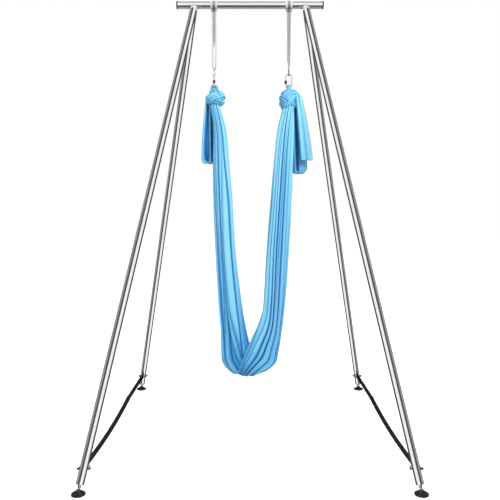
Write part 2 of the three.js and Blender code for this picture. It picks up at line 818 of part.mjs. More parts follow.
// A tied knot: a core with bands of gathered cloth that cross over it on a slant. Grown by a gap,
// the same form cuts the room for it out of the cloth that it holds.
function knotForm(knot, x, grow = 0) {
  const top = carabiner_centre_height - carabiner_height / 2 - knot_top_gap;
  const middle = top - knot.height / 2;
  const half = knot.width / 2;
  const band = half * knot_band_share;
  const core = new THREE.SphereGeometry(half * knot_core_share + grow, small_sides, small_sides / 2);
  const bands = knot.band_slants.map((slant) => {
    const ring = new THREE.TorusGeometry(half - band, band + grow, knot_band_sides, small_sides + 2);
    return ring.rotateX(Math.PI / 2).rotateY(slant).rotateX(knot_band_nod);
  });
  const form = joined(core, ...bands);
  form.scale(1, knot.depth / knot.width, knot.height / knot.width);
  return form.translate(x + knot.shift, 0, middle);
}

// A loop of the gathered cloth passes over the carabiner's bottom bar, in its YZ plane.
function knotArch(side, x) {
  const bend = bar_radius + arch_gap + arch_strand / 2;
  const steps = 8;
  const crown = Array.from({ length: steps + 1 }, (_, i) => (i * Math.PI) / steps);
  const bar_height = carabiner_centre_height - bottom_bar_drop;
  const path = [
    [bend, bar_height - arch_leg_length],
    [bend, bar_height - arch_leg_length / 2],
    ...crown.map((a) => [bend * Math.cos(a), bar_height + bend * Math.sin(a)]),
    [-bend, bar_height - arch_leg_length / 2],
    [-bend, bar_height - arch_leg_length],
  ];
  const points = path.map(([n, z]) => new THREE.Vector3(x + (side < 0 ? n : 0), side < 0 ? 0 : n, z));
  return rod(arch_strand / 2, points, 12, rod_sides);
}

// One section of the loop. Its lengthwise folds make half a turn round the cloth's own line at the
// bottom, so that the right side's folds cross in front of the left side's.
function loopRing(inner, outer, half_depth, share) {
  const middle = inner.clone().add(outer).divideScalar(2);
  const half = outer.clone().sub(inner).divideScalar(2);
  const slant = loop_half_turn * THREE.MathUtils.smoothstep(share, 0.38, 0.62);
  return Array.from({ length: loop_sides }, (_, side) => {
    const place = (2 * Math.PI * side) / loop_sides;
    const angle = place + slant;
    const creases = loop_fold_share * (Math.cos(loop_folds * place) - 0.5);
    const fold = 1 + creases + loop_wave_share * Math.cos(3 * place);
    return middle.clone()
      .addScaledVector(half, fold * Math.cos(angle))
      .add(new THREE.Vector3(0, half_depth * fold * Math.sin(angle), 0));
  });
}

function hangingLoop() {
  const at = (across, up) => new THREE.Vector3(
    hang_shift + across * loop_half_width,
    0,
    hammock_low_point + up * loop_height,
  );
  const curve = (points) => new THREE.CatmullRomCurve3(points);
  const inner = curve(loop_edge_shares.map((row) => at(row[0], row[1])));
  const outer = curve(loop_edge_shares.map((row) => at(row[2], row[3])));
  const depth = curve(loop_edge_shares.map((row) => new THREE.Vector3(0, row[4] * loop_half_depth, 0)));
  return lofted(Array.from({ length: loop_rings }, (_, i) => {
    const step = i / (loop_rings - 1);
    const share = step + (loop_crowding_share * Math.sin(2 * Math.PI * step)) / (2 * Math.PI);
    return loopRing(inner.getPoint(share), outer.getPoint(share), depth.getPoint(share).y, share);
  }));
}

function tail(rows) {
  const point = (across, depth, up) => new THREE.Vector3(
    hang_shift + across * loop_half_width,
    depth * loop_half_depth,
    hammock_low_point + up * loop_height,
  );
  const low = new THREE.CatmullRomCurve3(rows.map((row) => point(row[1], row[3], row[0])));
  const high = new THREE.CatmullRomCurve3(rows.map((row) => point(row[2], row[4], row[0])));
  return lofted(Array.from({ length: tail_rings }, (_, ring) => {
    const share = ring / (tail_rings - 1);
    const [a, b] = [low.getPoint(share), high.getPoint(share)];
    return Array.from({ length: tail_sides }, (__, side) => {
      const angle = (2 * Math.PI * side) / tail_sides;
      const fold = 1 - tail_fold_share / 2 + tail_fold_share * Math.cos(tail_folds * angle);
      return new THREE.Vector3(
        (a.x + b.x) / 2 + ((b.x - a.x) / 2) * fold * Math.cos(angle),
        (a.y + b.y) / 2 + ((b.y - a.y) / 2) * fold * Math.sin(angle),
        (a.z + b.z) / 2,
      );
    });
  }));
}

function addHammock() {
  const knots = [[left_knot, left_hang_x], [right_knot, right_hang_x]];
  const grown = knots.map(([knot, x]) => knotForm(knot, x, cloth_gap));
  const arches = [knotArch(-1, left_hang_x), knotArch(1, right_hang_x)];
  add('hammock_knot_left', joined(knotForm(...knots[0]), arches[0]), blue_cloth);
  add('hammock_knot_right', joined(knotForm(...knots[1]), arches[1]), blue_cloth);
  const loop = hangingLoop();
  add('hammock_loop', cut(loop, ...grown), blue_cloth);
  add('hammock_tail_left', cut(tail(left_tail_shares), grown[0]), blue_cloth);
  const right = joined(tail(right_tail_shares), tail(right_tail_back_shares));
  add('hammock_tail_right', cut(right, grown[1]), blue_cloth);
}

addBeam();
for (const [end_name, end] of [['front', -1], ['rear', 1]]) {
  for (const [side_name, side] of [['left', -1], ['right', 1]]) {
    addLeg(`${end_name}_${side_name}`, side, end);
  }
}
addFloorStraps();
addSlings();
addCarabiners();
addHammock();

export default rig;
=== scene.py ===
"""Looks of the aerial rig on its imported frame. Metres, +Z up; the front legs stand on the -Y side."""
import math

import bmesh
import bpy
import numpy as np
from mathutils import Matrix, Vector


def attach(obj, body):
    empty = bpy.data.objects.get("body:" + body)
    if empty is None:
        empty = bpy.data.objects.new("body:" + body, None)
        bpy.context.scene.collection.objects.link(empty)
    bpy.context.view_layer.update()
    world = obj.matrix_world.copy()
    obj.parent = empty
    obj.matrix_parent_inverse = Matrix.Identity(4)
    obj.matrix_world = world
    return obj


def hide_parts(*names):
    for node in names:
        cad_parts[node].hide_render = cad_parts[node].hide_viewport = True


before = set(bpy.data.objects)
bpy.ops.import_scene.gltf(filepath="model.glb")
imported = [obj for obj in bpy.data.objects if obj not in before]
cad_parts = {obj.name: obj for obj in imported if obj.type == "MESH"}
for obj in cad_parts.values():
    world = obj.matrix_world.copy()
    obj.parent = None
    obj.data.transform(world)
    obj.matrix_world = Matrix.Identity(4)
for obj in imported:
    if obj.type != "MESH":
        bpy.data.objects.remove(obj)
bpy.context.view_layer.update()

scene = bpy.context.scene
mm = 0.001
rng = np.random.default_rng(4328)
SIDES = [("left", -1), ("right", 1)]
ENDS = [("front", -1), ("rear", 1)]

# Sizes of the CAD part
FIT_GAP = 0.3 * mm
BEAM_Z, BEAM_LENGTH, BEAM_R, BEAM_WALL, CAP_DEPTH = 2.9, 0.98, 0.025, 0.002, 0.004
LEG_TOP_X, FOOT_X, FOOT_Y, BALL_Z = 0.37, 0.93, 0.95, 0.021
LEG_R, LEG_WALL, STUB_REACH, SPIGOT = 0.023, 0.0015, 0.107, 0.09
FOOT_REACH, STUD_REACH, STUD_R, STUD_PITCH = 0.034, 0.088, 0.006, 0.00175
NUT_FLATS, NUT_HEIGHT, COLLAR_FLATS, BOLT_FLATS = 0.019, 0.01, 0.017, 0.013
STRAP_Z, STRAP_LEVEL, STRAP_HALF, BAIL_REACH, BUCKLE_Y = 0.13, 0.0045, 0.001, 0.034, 0.312
HANG_X = {"left": -0.24, "right": 0.26}
CARABINER_Z, ARC_R, STRAIGHT, BAR_R = 2.401, 0.02, 0.025, 0.005
NOSE, HINGE = -0.018, 0.019
LOW_POINT, LOOP_HEIGHT, LOOP_HALF, LOOP_DEPTH, LOOP_X = 0.381, 1.834, 0.25, 0.1, 0.01

# Sizes of what this script shapes itself
EDGE = 0.8 * mm
WELD_R = 1.3 * mm
STRAP_WIDTH, STRAP_THICKNESS, STRAP_SLACK = 0.032, 0.0019, 0.024
EYE_Z, EYE_HALF_WIDTH, EYE_DROP, EYE_TAPE = 2.4492, 0.011, 0.0127, 0.008
HITCH_R, HITCH_TAPE, HITCH_THICKNESS = 0.027, 0.024, 0.002
STUD_BALL_R, STUD_NECK_R = 0.007, 0.0035

# The fitted camera, the floor, and the studio cards' distance to a tube
CAMERA, CAMERA_TILT, LENS, SENSOR = np.array([0.0, -4.1, 1.548]), 0.069, 43.17, 36.0
FLOOR_HALF = 30
CARD_R, CARD_LEAST_R, CARD_FLARE = 0.07, 0.0265, 0.12


# Shapes

def unit(vectors):
    """A vector, or each row of an array of them, at length 1."""
    vectors = np.asarray(vectors, float)
    return vectors / np.linalg.norm(vectors, axis=-1, keepdims=True)


def full_turn(count):
    return np.linspace(0, 2 * math.pi, count, endpoint=False)


def around(radius, angles, height):
    """Points at a radius, an angle and a height, each a number or an array."""
    return np.stack(np.broadcast_arrays(radius * np.cos(angles), radius * np.sin(angles), height), -1)


def disc(radius, sides=24):
    return around(radius, full_turn(sides), 0)[:, :2]


def grid_faces(rings, points, closed=True):
    """Quads of a grid of rings, each with the same number of points."""
    faces = []
    for r in range(rings - 1):
        for p in range(points if closed else points - 1):
            a, b = r * points + p, r * points + (p + 1) % points
            faces.append((a, b, b + points, a + points))
    return faces


def loft(rings, closed=False, capped=True):
    """Points and faces of rings in a row, which end in caps, stay open or close to a loop."""
    count, points = rings.shape[:2]
    faces = grid_faces(count, points)
    last = (count - 1) * points
    if closed:
        faces += [(last + p, last + (p + 1) % points, (p + 1) % points, p) for p in range(points)]
    elif capped:
        faces += [tuple(range(points))[::-1], tuple(range(last, last + points))]
    return rings.reshape(-1, 3), faces


def add_object(name, data):
    made = bpy.data.objects.new(name, data)
    scene.collection.objects.link(made)
    return made


def tidy_solid(mesh):
    """Welds doubled points and turns all faces outward."""
    work = bmesh.new()
    work.from_mesh(mesh)
    bmesh.ops.remove_doubles(work, verts=work.verts, dist=1e-6)
    bmesh.ops.recalc_face_normals(work, faces=work.faces)
    work.to_mesh(mesh)
    work.free()


def build(name, parts, look, body, stands_for=(), sharp=35, uv=None, layers=None, solid=True):
    """One object from (points, faces) parts, smooth shaded, riding on its body; a solid is welded."""
    points, faces = [], []
    for part_points, part_faces in parts:
        start = len(points)
        points.extend(map(tuple, part_points))
        faces.extend(tuple(i + start for i in face) for face in part_faces)
    mesh = bpy.data.meshes.new(name)
    mesh.from_pydata(points, [], faces)
    if uv is not None:
        layer = mesh.uv_layers.new(name="cloth")
        corners = np.zeros(len(mesh.loops), int)
        mesh.loops.foreach_get("vertex_index", corners)
        layer.data.foreach_set("uv", np.asarray(uv)[corners].ravel())
    for key, values in (layers or {}).items():
        layer = mesh.attributes.new(key, "FLOAT", "POINT")
        layer.data.foreach_set("value", np.clip(values, 0, 1).astype(np.float32).ravel())
    if solid:
        tidy_solid(mesh)
    mesh.materials.append(look["material"])
    mesh.polygons.foreach_set("use_smooth", [True] * len(mesh.polygons))
    mesh.set_sharp_from_angle(angle=math.radians(sharp))
    piece = add_object(name, mesh)
    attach(piece, body)
    if stands_for:
        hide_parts(*stands_for)
    return piece


def rounded(corners, radius, steps=4):
    """A polyline with each inner corner replaced by a short curve."""
    corners = [np.array(c, float) for c in corners]
    result = [corners[0]]
    for before, corner, after in zip(corners, corners[1:], corners[2:]):
        reach = min(radius, 0.49 * np.linalg.norm(corner - before), 0.49 * np.linalg.norm(after - corner))
        a, b = corner + unit(before - corner) * reach, corner + unit(after - corner) * reach
        for t in np.linspace(0, 1, steps + 1):
            result.append((1 - t) ** 2 * a + 2 * t * (1 - t) * corner + t * t * b)
    result.append(corners[-1])
    return result


def outline_mm(corners, radius, base=0.0, steps=4):
    """A rounded outline of corners in mm, whose second numbers count from a base in metres."""
    return rounded(np.array(corners) * mm + (0, base), radius * mm, steps)


def basis(origin, z_axis, x_hint=(1, 0, 0)):
    """Rows: origin, x, y and z of a frame."""
    z = unit(z_axis)
    y = unit(np.cross(z, x_hint))
    return np.array(origin, float), np.cross(y, z), y, z


def along_x(centre, sign=1):
    """A frame whose Z points along the world's X."""
    return basis(centre, (sign, 0, 0), (0, 1, 0))


def placed(points, at):
    origin, x, y, z = at
    points = np.asarray(points, float)
    return origin + points[:, :1] * x + points[:, 1:2] * y + points[:, 2:3] * z


def framed(rings, at):
    """An open grid of rings that are given in a frame's own coordinates."""
    points, faces = loft(np.asarray(rings), capped=False)
    return placed(points, at), faces


def lathe(profile, at, sides=64):
    """A profile of (radius, height) turned about the frame's Z."""
    profile = np.asarray(profile, float)
    return framed(around(profile[:, :1], full_turn(sides), profile[:, 1:]), at)


def prism(flats, bottom, top, at, bore=0.0):
    """A hexagonal nut or head whose corners are turned down to a cone at both ends."""
    angles = full_turn(72)
    hexagon = flats / 2 / np.cos((angles + math.pi / 6) % (math.pi / 3) - math.pi / 6)
    rings = [around(np.minimum(hexagon, flats / 2 * cone), angles, bottom + share * (top - bottom))
             for share, cone in [(0, 0.93), (0.12, 1.16), (0.88, 1.16), (1, 0.93)]]
    rings += [around(bore, angles, top), around(bore, angles, bottom), rings[0]]
    return framed(rings, at)


def tangents_of(path, closed):
    ahead = np.roll(path, -1, 0) if closed else np.concatenate([path[1:], path[-1:]])
    behind = np.roll(path, 1, 0) if closed else np.concatenate([path[:1], path[:-1]])
    return unit(ahead - behind)


def run_length(path):
    """Distance along a path at each of its points."""
    return np.concatenate([[0], np.cumsum(np.linalg.norm(np.diff(path, axis=0), axis=1))])


def carried_frames(path, first_normal, closed=False):
    """Normals and binormals along a path, turned as little as possible."""
    tangents = tangents_of(path, closed)
    normal = np.array(first_normal, float)
    normals = []
    for tangent in tangents:
        normal = unit(normal - tangent * normal.dot(tangent))
        normals.append(normal)
    return np.array(normals), np.cross(tangents, normals)


def laid(path, sections, first, second):
    """Rings round a path, from sections of (along first, along second) points."""
    return path[:, None] + sections[..., :1] * first[:, None] + sections[..., 1:] * second[:, None]


def swept(path, sections, first_normal, closed=False):
    """A rod along a path, from one section or one for each point of the path."""
    path = np.asarray(path, float)
    return loft(laid(path, sections, *carried_frames(path, first_normal, closed)), closed)


def curve_through(rows, shares):
    """Catmull-Rom through rows that are evenly spread over 0 to 1."""
    rows = np.asarray(rows, float)
    place = np.clip(np.asarray(shares, float), 0, 1) * (len(rows) - 1)
    index = np.minimum(place.astype(int), len(rows) - 2)
    t = (place - index)[:, None]
    padded = np.concatenate([[2 * rows[0] - rows[1]], rows, [2 * rows[-1] - rows[-2]]])
    a, b, c, d = (padded[index + k] for k in range(4))
    square, cube = 2 * a - 5 * b + 4 * c - d, 3 * b - 3 * c + d - a
    return 0.5 * (2 * b + (c - a) * t + square * t ** 2 + cube * t ** 3)


def smooth_step(value, low, high):
    t = np.clip((value - low) / (high - low), 0, 1)
    return t * t * (3 - 2 * t)


def drift(shares, waves, count):
    """Slow random curves from -1 to 1, one column for each of count folds."""
    phases = rng.uniform(0, 2 * math.pi, (3, count))
    rates = rng.uniform(0.5, 1.0, (3, count)) * np.array([[waves], [waves * 1.9], [waves * 3.1]])
    weights = np.array([0.6, 0.3, 0.15])
    shares = np.asarray(shares)[:, None]
    return sum(w * np.sin(2 * math.pi * r * shares + p) for w, r, p in zip(weights, rates, phases))


# Materials

def linear(code):
    """sRGB hex to linear RGBA."""
    values = [int(code[i:i + 2], 16) / 255 for i in (0, 2, 4)]
    return [v / 12.92 if v <= 0.04045 else ((v + 0.055) / 1.055) ** 2.4 for v in values] + [1.0]


def add_node(tree, kind, inputs=None, **settings):
    made = tree.nodes.new(kind)
    for key, value in settings.items():
        setattr(made, key, value)
    for socket, value in (inputs or {}).items():
        if isinstance(value, bpy.types.NodeSocket):
            tree.links.new(value, made.inputs[socket])
        else:
            made.inputs[socket].default_value = value
    return made


def maths(tree, operation, *values):
    return add_node(tree, "ShaderNodeMath", dict(enumerate(values)), operation=operation).outputs[0]


def blended(tree, factor, first, second):
    return add_node(tree, "ShaderNodeMix", {0: factor, 6: first, 7: second}, data_type="RGBA").outputs[2]


def ramp(tree, factor, low, high, start=0.0, stop=1.0):
    return add_node(tree, "ShaderNodeMapRange", {0: factor, 1: start, 2: stop, 3: low, 4: high}).outputs[0]


def noise(tree, vector, scale, detail, stretch=None):
    if stretch:
        vector = add_node(tree, "ShaderNodeMapping", {"Vector": vector, "Scale": stretch}).outputs[0]
    made = add_node(tree, "ShaderNodeTexNoise", {"Vector": vector, "Scale": scale, "Detail": detail})
    return made.outputs["Fac"]


def cloth_coordinates(tree, place):
    """The two cloth coordinates, in metres across and along."""
    return add_node(tree, "ShaderNodeSeparateXYZ", {0: place.outputs["UV"]}).outputs


def new_look(name, slot, **sockets):
    material = bpy.data.materials.new(name)
    material.use_nodes = True
    tree = material.node_tree
    shader = tree.nodes["Principled BSDF"]
    for socket, value in sockets.items():
        shader.inputs[socket.replace("_", " ")].default_value = value
    place = tree.nodes.new("ShaderNodeTexCoord")
    return {"material": material, "slot": slot, "tree": tree, "shader": shader, "place": place}


def finish_look(look, colour, rough, height, distance):
    tree, shader = look["tree"], look["shader"]
    bump = add_node(tree, "ShaderNodeBump", {"Height": height, "Distance": distance, "Strength": 1.0})
    for value, socket in [(colour, "Base Color"), (rough, "Roughness"), (bump.outputs[0], "Normal")]:
        tree.links.new(value, shader.inputs[socket])
    return look


def metal_look(name, slot, light, dark, rough, fine=900.0):
    look = new_look(name, slot, Metallic=1.0)
    tree, at = look["tree"], look["place"].outputs["Object"]
    wear = noise(tree, at, 9.0, 4.0)
    scratch = noise(tree, at, fine, 2.0, stretch=(1.0, 1.0, 0.08))
    spread = maths(tree, "MULTIPLY", maths(tree, "ADD", wear, scratch), 0.5)
    colour = blended(tree, wear, linear(light), linear(dark))
    return finish_look(look, colour, ramp(tree, spread, *rough), scratch, 0.00001)


def moulded_look(name, slot, light, dark, rough, grain, distance, **sockets):
    look = new_look(name, slot, **sockets)
    tree, at = look["tree"], look["place"].outputs["Object"]
    cloud = noise(tree, at, 35.0, 4.0)
    colour = blended(tree, cloud, linear(light), linear(dark))
    return finish_look(look, colour, ramp(tree, cloud, *rough), noise(tree, at, grain, 2.0), distance)


def webbing_look(name, slot, light, dark, rough, gloss, grey=None):
    """Woven tape: cords along it, with crossing threads that shift from cord to cord, painted lighter where
    they stand up and darker between them as painted shade; a painted shade attribute can mix in a grey.
    """
    look = new_look(name, slot, Specular_IOR_Level=gloss)
    tree = look["tree"]
    across, along = cloth_coordinates(tree, look["place"])[:2]
    column = maths(tree, "DIVIDE", across, 1.6 * mm)
    row = maths(tree, "DIVIDE", along, 2.2 * mm)
    cord = maths(tree, "ABSOLUTE", maths(tree, "SINE", maths(tree, "MULTIPLY", column, math.pi)))
    shift = maths(tree, "MULTIPLY", maths(tree, "FLOOR", column), 0.5)
    slope = maths(tree, "MULTIPLY", maths(tree, "ADD", row, shift), 2 * math.pi)
    thread = maths(tree, "MULTIPLY_ADD", maths(tree, "SINE", slope), 0.35, 0.65)
    height = maths(tree, "MULTIPLY", cord, thread)
    cloud = noise(tree, look["place"].outputs["Object"], 22.0, 4.0)
    # Painted shade: the colour follows the weave's height, lighter on raised threads and darker between them,
    # plus random tone from the cloud.
    tone_and_painted_shade = maths(tree, "MULTIPLY_ADD", cloud, 0.5, maths(tree, "MULTIPLY", height, 0.6))
    colour = blended(tree, tone_and_painted_shade, linear(dark), linear(light))
    # Where given, the painted tape shade attribute mixes the colour toward a grey: shade painted on the
    # slings.
    if grey:
        painted_tape_shade = add_node(tree, "ShaderNodeAttribute", attribute_name="painted_tape_shade").outputs["Fac"]
        colour = blended(tree, painted_tape_shade, colour, linear(grey))
    return finish_look(look, colour, ramp(tree, height, *rough), height, 0.0003)


def cloth_look():
    """Satin tricot: fine knitted wales across the cloth's own width, soft crinkles painted lighter on their
    crests, and a sheen;
    a deeper blue is painted into the folds and shadowed parts as shade."""
    look = new_look("blue_tricot", "blue_cloth", Sheen_Weight=0.25, Sheen_Roughness=0.35,
                    Sheen_Tint=linear("CDEBFF"), Specular_IOR_Level=0.35)
    tree, place = look["tree"], look["place"]
    across, along = cloth_coordinates(tree, place)[:2]
    wale = maths(tree, "SINE", maths(tree, "MULTIPLY", across, 2 * math.pi / (1.1 * mm)))
    course = maths(tree, "SINE", maths(tree, "MULTIPLY", along, 2 * math.pi / (0.9 * mm)))
    knit = maths(tree, "MULTIPLY_ADD", course, 0.4, wale)
    crinkle = noise(tree, place.outputs["UV"], 26.0, 5.0, stretch=(1.0, 0.16, 1.0))
    cloud = noise(tree, place.outputs["Object"], 5.0, 4.0)
    # The crinkle that bumps the cloth also lightens it on its crests: painted shade, with random tone from
    # the cloud.
    tone_and_painted_shade = maths(tree, "MULTIPLY_ADD", crinkle, 0.5, maths(tree, "MULTIPLY", cloud, 0.5))
    surface = blended(tree, tone_and_painted_shade, linear("7ACDF0"), linear("A2E6FB"))
    # Painted shade: the colour is mixed toward a deep blue by the painted cloth shade attribute, down in
    # folds and in shadowed parts.
    painted_cloth_shade = add_node(tree, "ShaderNodeAttribute", attribute_name="painted_cloth_shade").outputs["Fac"]
    colour = blended(tree, painted_cloth_shade, surface, linear("187AC0"))
    height = maths(tree, "MULTIPLY_ADD", crinkle, 14.0, knit)
    return finish_look(look, colour, ramp(tree, crinkle, 0.42, 0.6), height, 0.0001)


chrome = metal_look("chrome_tube", "chrome_tube", "F6F6F7", "E9EAEC", (0.05, 0.12))
polished = metal_look("polished_steel", "polished_steel", "EEEFF1", "D2D4D7", (0.1, 0.2))
zinc = metal_look("zinc_plate", "zinc", "B9BBBE", "8A8D91", (0.2, 0.38), 500.0)
anodised = metal_look("red_anodised", "red_sleeve", "9A3A46", "7C2733", (0.25, 0.4), 700.0)
black_steel = moulded_look("black_painted_steel", "black_steel", "26272A", "161718", (0.3, 0.5), 700.0,
                           0.00003)
plastic = moulded_look("black_plastic", "black_plastic", "1E1F21", "131415", (0.38, 0.55), 900.0, 0.00004,
                       Specular_IOR_Level=0.25)
rubber = moulded_look("pad_rubber", "rubber", "232425", "131415", (0.22, 0.4), 650.0, 0.00006,
                      Specular_IOR_Level=0.5)
strap_web = webbing_look("black_webbing", "black_webbing", "0F0F10", "060607", (0.6, 0.85), 0.07)
sling_web = webbing_look("grey_webbing", "grey_webbing", "F4F5F6", "D2D4D6", (0.55, 0.8), 0.2, "56585C")
tricot = cloth_look()


# Beam

def make_beam():
    half = BEAM_LENGTH / 2 - CAP_DEPTH - FIT_GAP
    inner = BEAM_R - BEAM_WALL
    profile = rounded([(inner, -half), (BEAM_R, -half), (BEAM_R, half), (inner, half)], EDGE)
    build("beam", [lathe(profile, along_x((0, 0, BEAM_Z)), 96)], chrome, "stand", ["beam_tube"])
    cap = outline_mm([
        (0, 4), (17, 3.9), (25.8, 3.2), (25.8, -5), (25.05, -5), (25.05, -0.4), (22.6, -0.4), (22.4, -18),
        (20, -18), (20, 0),
    ], 0.7)
    for name, side in SIDES:
        at = along_x((side * (BEAM_LENGTH / 2 - CAP_DEPTH), 0, BEAM_Z), side)
        build(f"end_cap_{name}", [lathe(cap, at)], plastic, "stand", [f"beam_cap_{name}"])


# Legs

def leg_frame(side, end):
    ball = np.array([side * FOOT_X, end * FOOT_Y, BALL_Z])
    top = np.array([side * LEG_TOP_X, 0, BEAM_Z])
    return basis(ball, top - ball), np.linalg.norm(top - ball)


def coped_top(at, length, angles):
    """Height at which each line along the stub meets the beam, or the stub of the other leg."""
    up = at[3]
    start = placed(around(LEG_R, angles, 0), at)
    rise = start[:, 2] - BEAM_Z
    a = up[1] ** 2 + up[2] ** 2
    b = 2 * (start[:, 1] * up[1] + rise * up[2])
    root = b * b - 4 * a * (start[:, 1] ** 2 + rise ** 2 - BEAM_R ** 2)
    beam = np.where(root > 0, (-b - np.sqrt(np.maximum(root, 0))) / (2 * a), length)
    return np.minimum(beam, -start[:, 1] / up[1])


def make_stub(name, at, length):
    seam, spigot, angles = length - STUB_REACH, LEG_R - LEG_WALL - FIT_GAP, full_turn(96)
    tops = coped_top(at, length, angles)
    shoulder = rounded([(spigot, seam), (LEG_R, seam), (LEG_R, seam + 4 * mm)], EDGE)[1:]
    profile = [(spigot, seam - SPIGOT), (spigot, seam), *shoulder, (LEG_R, tops), (LEG_R - LEG_WALL, tops)]
    stub = framed([around(radius, angles, height) for radius, height in profile], at)
    build(f"stub_{name}", [stub], chrome, "stand", [f"leg_stub_{name}"])
    line = around(LEG_R, angles, tops - 0.6 * mm)
    line = np.stack([line, (line + np.roll(line, -1, 0)) / 2], 1).reshape(-1, 3)
    ripple = 1 + 0.12 * np.cos(np.arange(len(line)) * math.pi / 1.5)
    bead = swept(placed(line, at), WELD_R * ripple[:, None, None] * disc(1.0, 10), at[1], closed=True)
    build(f"weld_{name}", [bead], zinc, "stand")


def make_section(name, at, bottom, top, spigot=True):
    """A leg tube. Its spigot goes down into the next one."""
    inner = LEG_R - LEG_WALL
    neck, tip = inner - FIT_GAP, bottom - SPIGOT
    start = [(inner, top), (inner, bottom)]
    if spigot:
        start = [(neck - LEG_WALL, tip), (neck, tip), (neck, bottom)]
    profile = rounded([*start, (LEG_R, bottom), (LEG_R, top), (inner, top)], EDGE)
    build(f"tube_{name}", [lathe(profile, at, 96)], chrome, "stand", [f"leg_{name}"])


def make_foot(name, at):
    """Plug, lock nut and stud of a levelling foot. The stud's ball is at the frame's origin."""
    plug = outline_mm([(6.6, 0), (21.2, 0), (21.2, 25), (6.6, 25), (6.6, 0)], 0.9, FOOT_REACH)
    build(f"plug_{name}", [lathe(plug, at)], zinc, "stand", [f"foot_plug_{name}"])
    nut_top = FOOT_REACH - FIT_GAP
    nut = prism(NUT_FLATS, nut_top - NUT_HEIGHT, nut_top, at, bore=6.6 * mm)
    build(f"nut_{name}", [nut], zinc, "stand", [f"lock_nut_{name}"])
    collar_top = nut_top - NUT_HEIGHT - 1 * mm
    ball = [(STUD_BALL_R * math.sin(a), -STUD_BALL_R * math.cos(a))
            for a in np.linspace(0, math.radians(150), 14)]
    neck = [(STUD_NECK_R, collar_top - 6 * mm), (STUD_R, collar_top - 6 * mm), (STUD_R, collar_top)]
    tip = [(5 * mm, STUD_REACH - 1 * mm), (4 * mm, STUD_REACH), (0, STUD_REACH)]
    heights = np.arange(collar_top, STUD_REACH - 2 * mm, 0.29 * mm)[:, None]
    angles = full_turn(32)
    turns = (heights / STUD_PITCH - angles / (2 * math.pi)) % 1
    thread = framed(around(STUD_R - 0.9 * mm * np.abs(2 * turns - 1), angles, heights), at)
    collar = prism(COLLAR_FLATS, collar_top - 7 * mm, collar_top, at)
    build(f"stud_{name}", [lathe(ball + neck, at, 32), thread, lathe(tip, at, 32), collar], zinc,
          f"stud_{name}", [f"levelling_stud_{name}"])


def make_pad(name, ball):
    """A rubber pad with a cup for the stud's ball and a plated ring round the cup."""
    at = basis((ball[0], ball[1], 0), (0, 0, 1))
    cup, lip = 7.6 * mm, 3 * mm
    outside = outline_mm([
        (0, 1.2), (30, 1.2), (31, 0), (37, 0), (39, 2), (39, 8), (36.5, 11), (29, 14.2), (23, 18.2),
        (17, 23.5), (13.6, 26), (12.5, 28), (10, 28),
    ], 2.2)
    angles = np.linspace(math.acos(lip / cup), math.pi, 10)
    inside = [(cup * math.sin(a), BALL_Z + cup * math.cos(a)) for a in angles]
    build(f"pad_{name}", [lathe(outside + inside, at, 96)], rubber, f"pad_{name}", [f"foot_pad_{name}"])
    ring = outline_mm([(10, 24.5), (12.9, 24.5), (12.9, 28.8), (10, 28.8), (10, 24.5)], 0.7)
    build(f"pad_ring_{name}", [lathe(ring, at)], zinc, f"pad_{name}")


def bolt_point(at):
    origin, _, _, up = at
    return origin + up * (STRAP_Z - BALL_Z) / up[2]


def make_fastening(name, at, end):
    """The bolt through a leg, with washers, head and nut, and the strap's bail on its two ends."""
    point = bolt_point(at)
    axis = along_x(point)
    face = 31.8
    shank = outline_mm([(0, -face), (4, -face), (4, face + 8.6), (3.4, face + 9), (0, face + 9)], 0.3)
    parts = [lathe(shank, axis, 32)]
    for z in (-face - 0.1, face - 0.6):
        washer = outline_mm([(4.2, z), (7.4, z), (7.4, z + 0.9), (4.2, z + 0.9)], 0.3)
        parts.append(lathe(washer, axis, 48))
    for low, high in [(-face - 5, -face + 0.1), (face + 0.2, face + 5)]:
        parts.append(prism(BOLT_FLATS, low * mm, high * mm, axis))
    build(f"bolt_{name}", parts, zinc, "stand", [f"strap_bolt_{name}"])
    half = 28.5 * mm
    corners = [(-half, 5 * mm), (-half, BAIL_REACH), (half, BAIL_REACH), (half, 5 * mm)]
    bend = [point + (x, -end * y, 0) for x, y in rounded(corners, 11 * mm, 8)]
    eye = outline_mm([(4.3, -3), (6.8, -3), (6.8, 3), (4.3, 3), (4.3, -3)], 1)
    eyes = [lathe(eye, along_x(point + (x, 0, 0)), 40) for x in (-half, half)]
    build(f"bail_{name}", [swept(bend, disc(3 * mm), (0, 0, 1)), *eyes], black_steel, "stand",
          [f"strap_bail_{name}"])


def make_legs():
    for end_name, end in ENDS:
        for side_name, side in SIDES:
            name = f"{end_name}_{side_name}"
            at, length = leg_frame(side, end)
            seam = length - STUB_REACH
            section = (seam - FOOT_REACH) / 3
            make_stub(name, at, length)
            make_section(f"upper_{name}", at, seam - section, seam - FIT_GAP)
            make_section(f"middle_{name}", at, seam - 2 * section, seam - section - FIT_GAP)
            make_section(f"lower_{name}", at, FOOT_REACH, seam - 2 * section - FIT_GAP, spigot=False)
            make_foot(name, at)
            make_pad(name, at[0])
            make_fastening(name, at, end)


# Webbing

def tape_section(width, thickness, points=9):
    """Flat tape with thick rounded selvedges, as (across, through) points."""
    u = np.linspace(-1, 1, points)
    half = thickness / 2 * (1 - 0.12 * np.cos(u * math.pi * 0.9))
    upper = np.stack([u * width / 2, half], 1)
    lip = width / 2 + thickness * 0.22
    return np.concatenate([upper, [[lip, 0]], upper[::-1] * (1, -1), [[-lip, 0]]])


def pleated_section(u, width, half, pleat):
    """Tape in pleats, as (across, through) points: the upper side from left to right, the lower one back."""
    upper, under = [np.stack(np.broadcast_arrays(u * width / 2, s * half + pleat), -1) for s in (1, -1)]
    return np.concatenate([upper, under[..., ::-1, :]], -2)


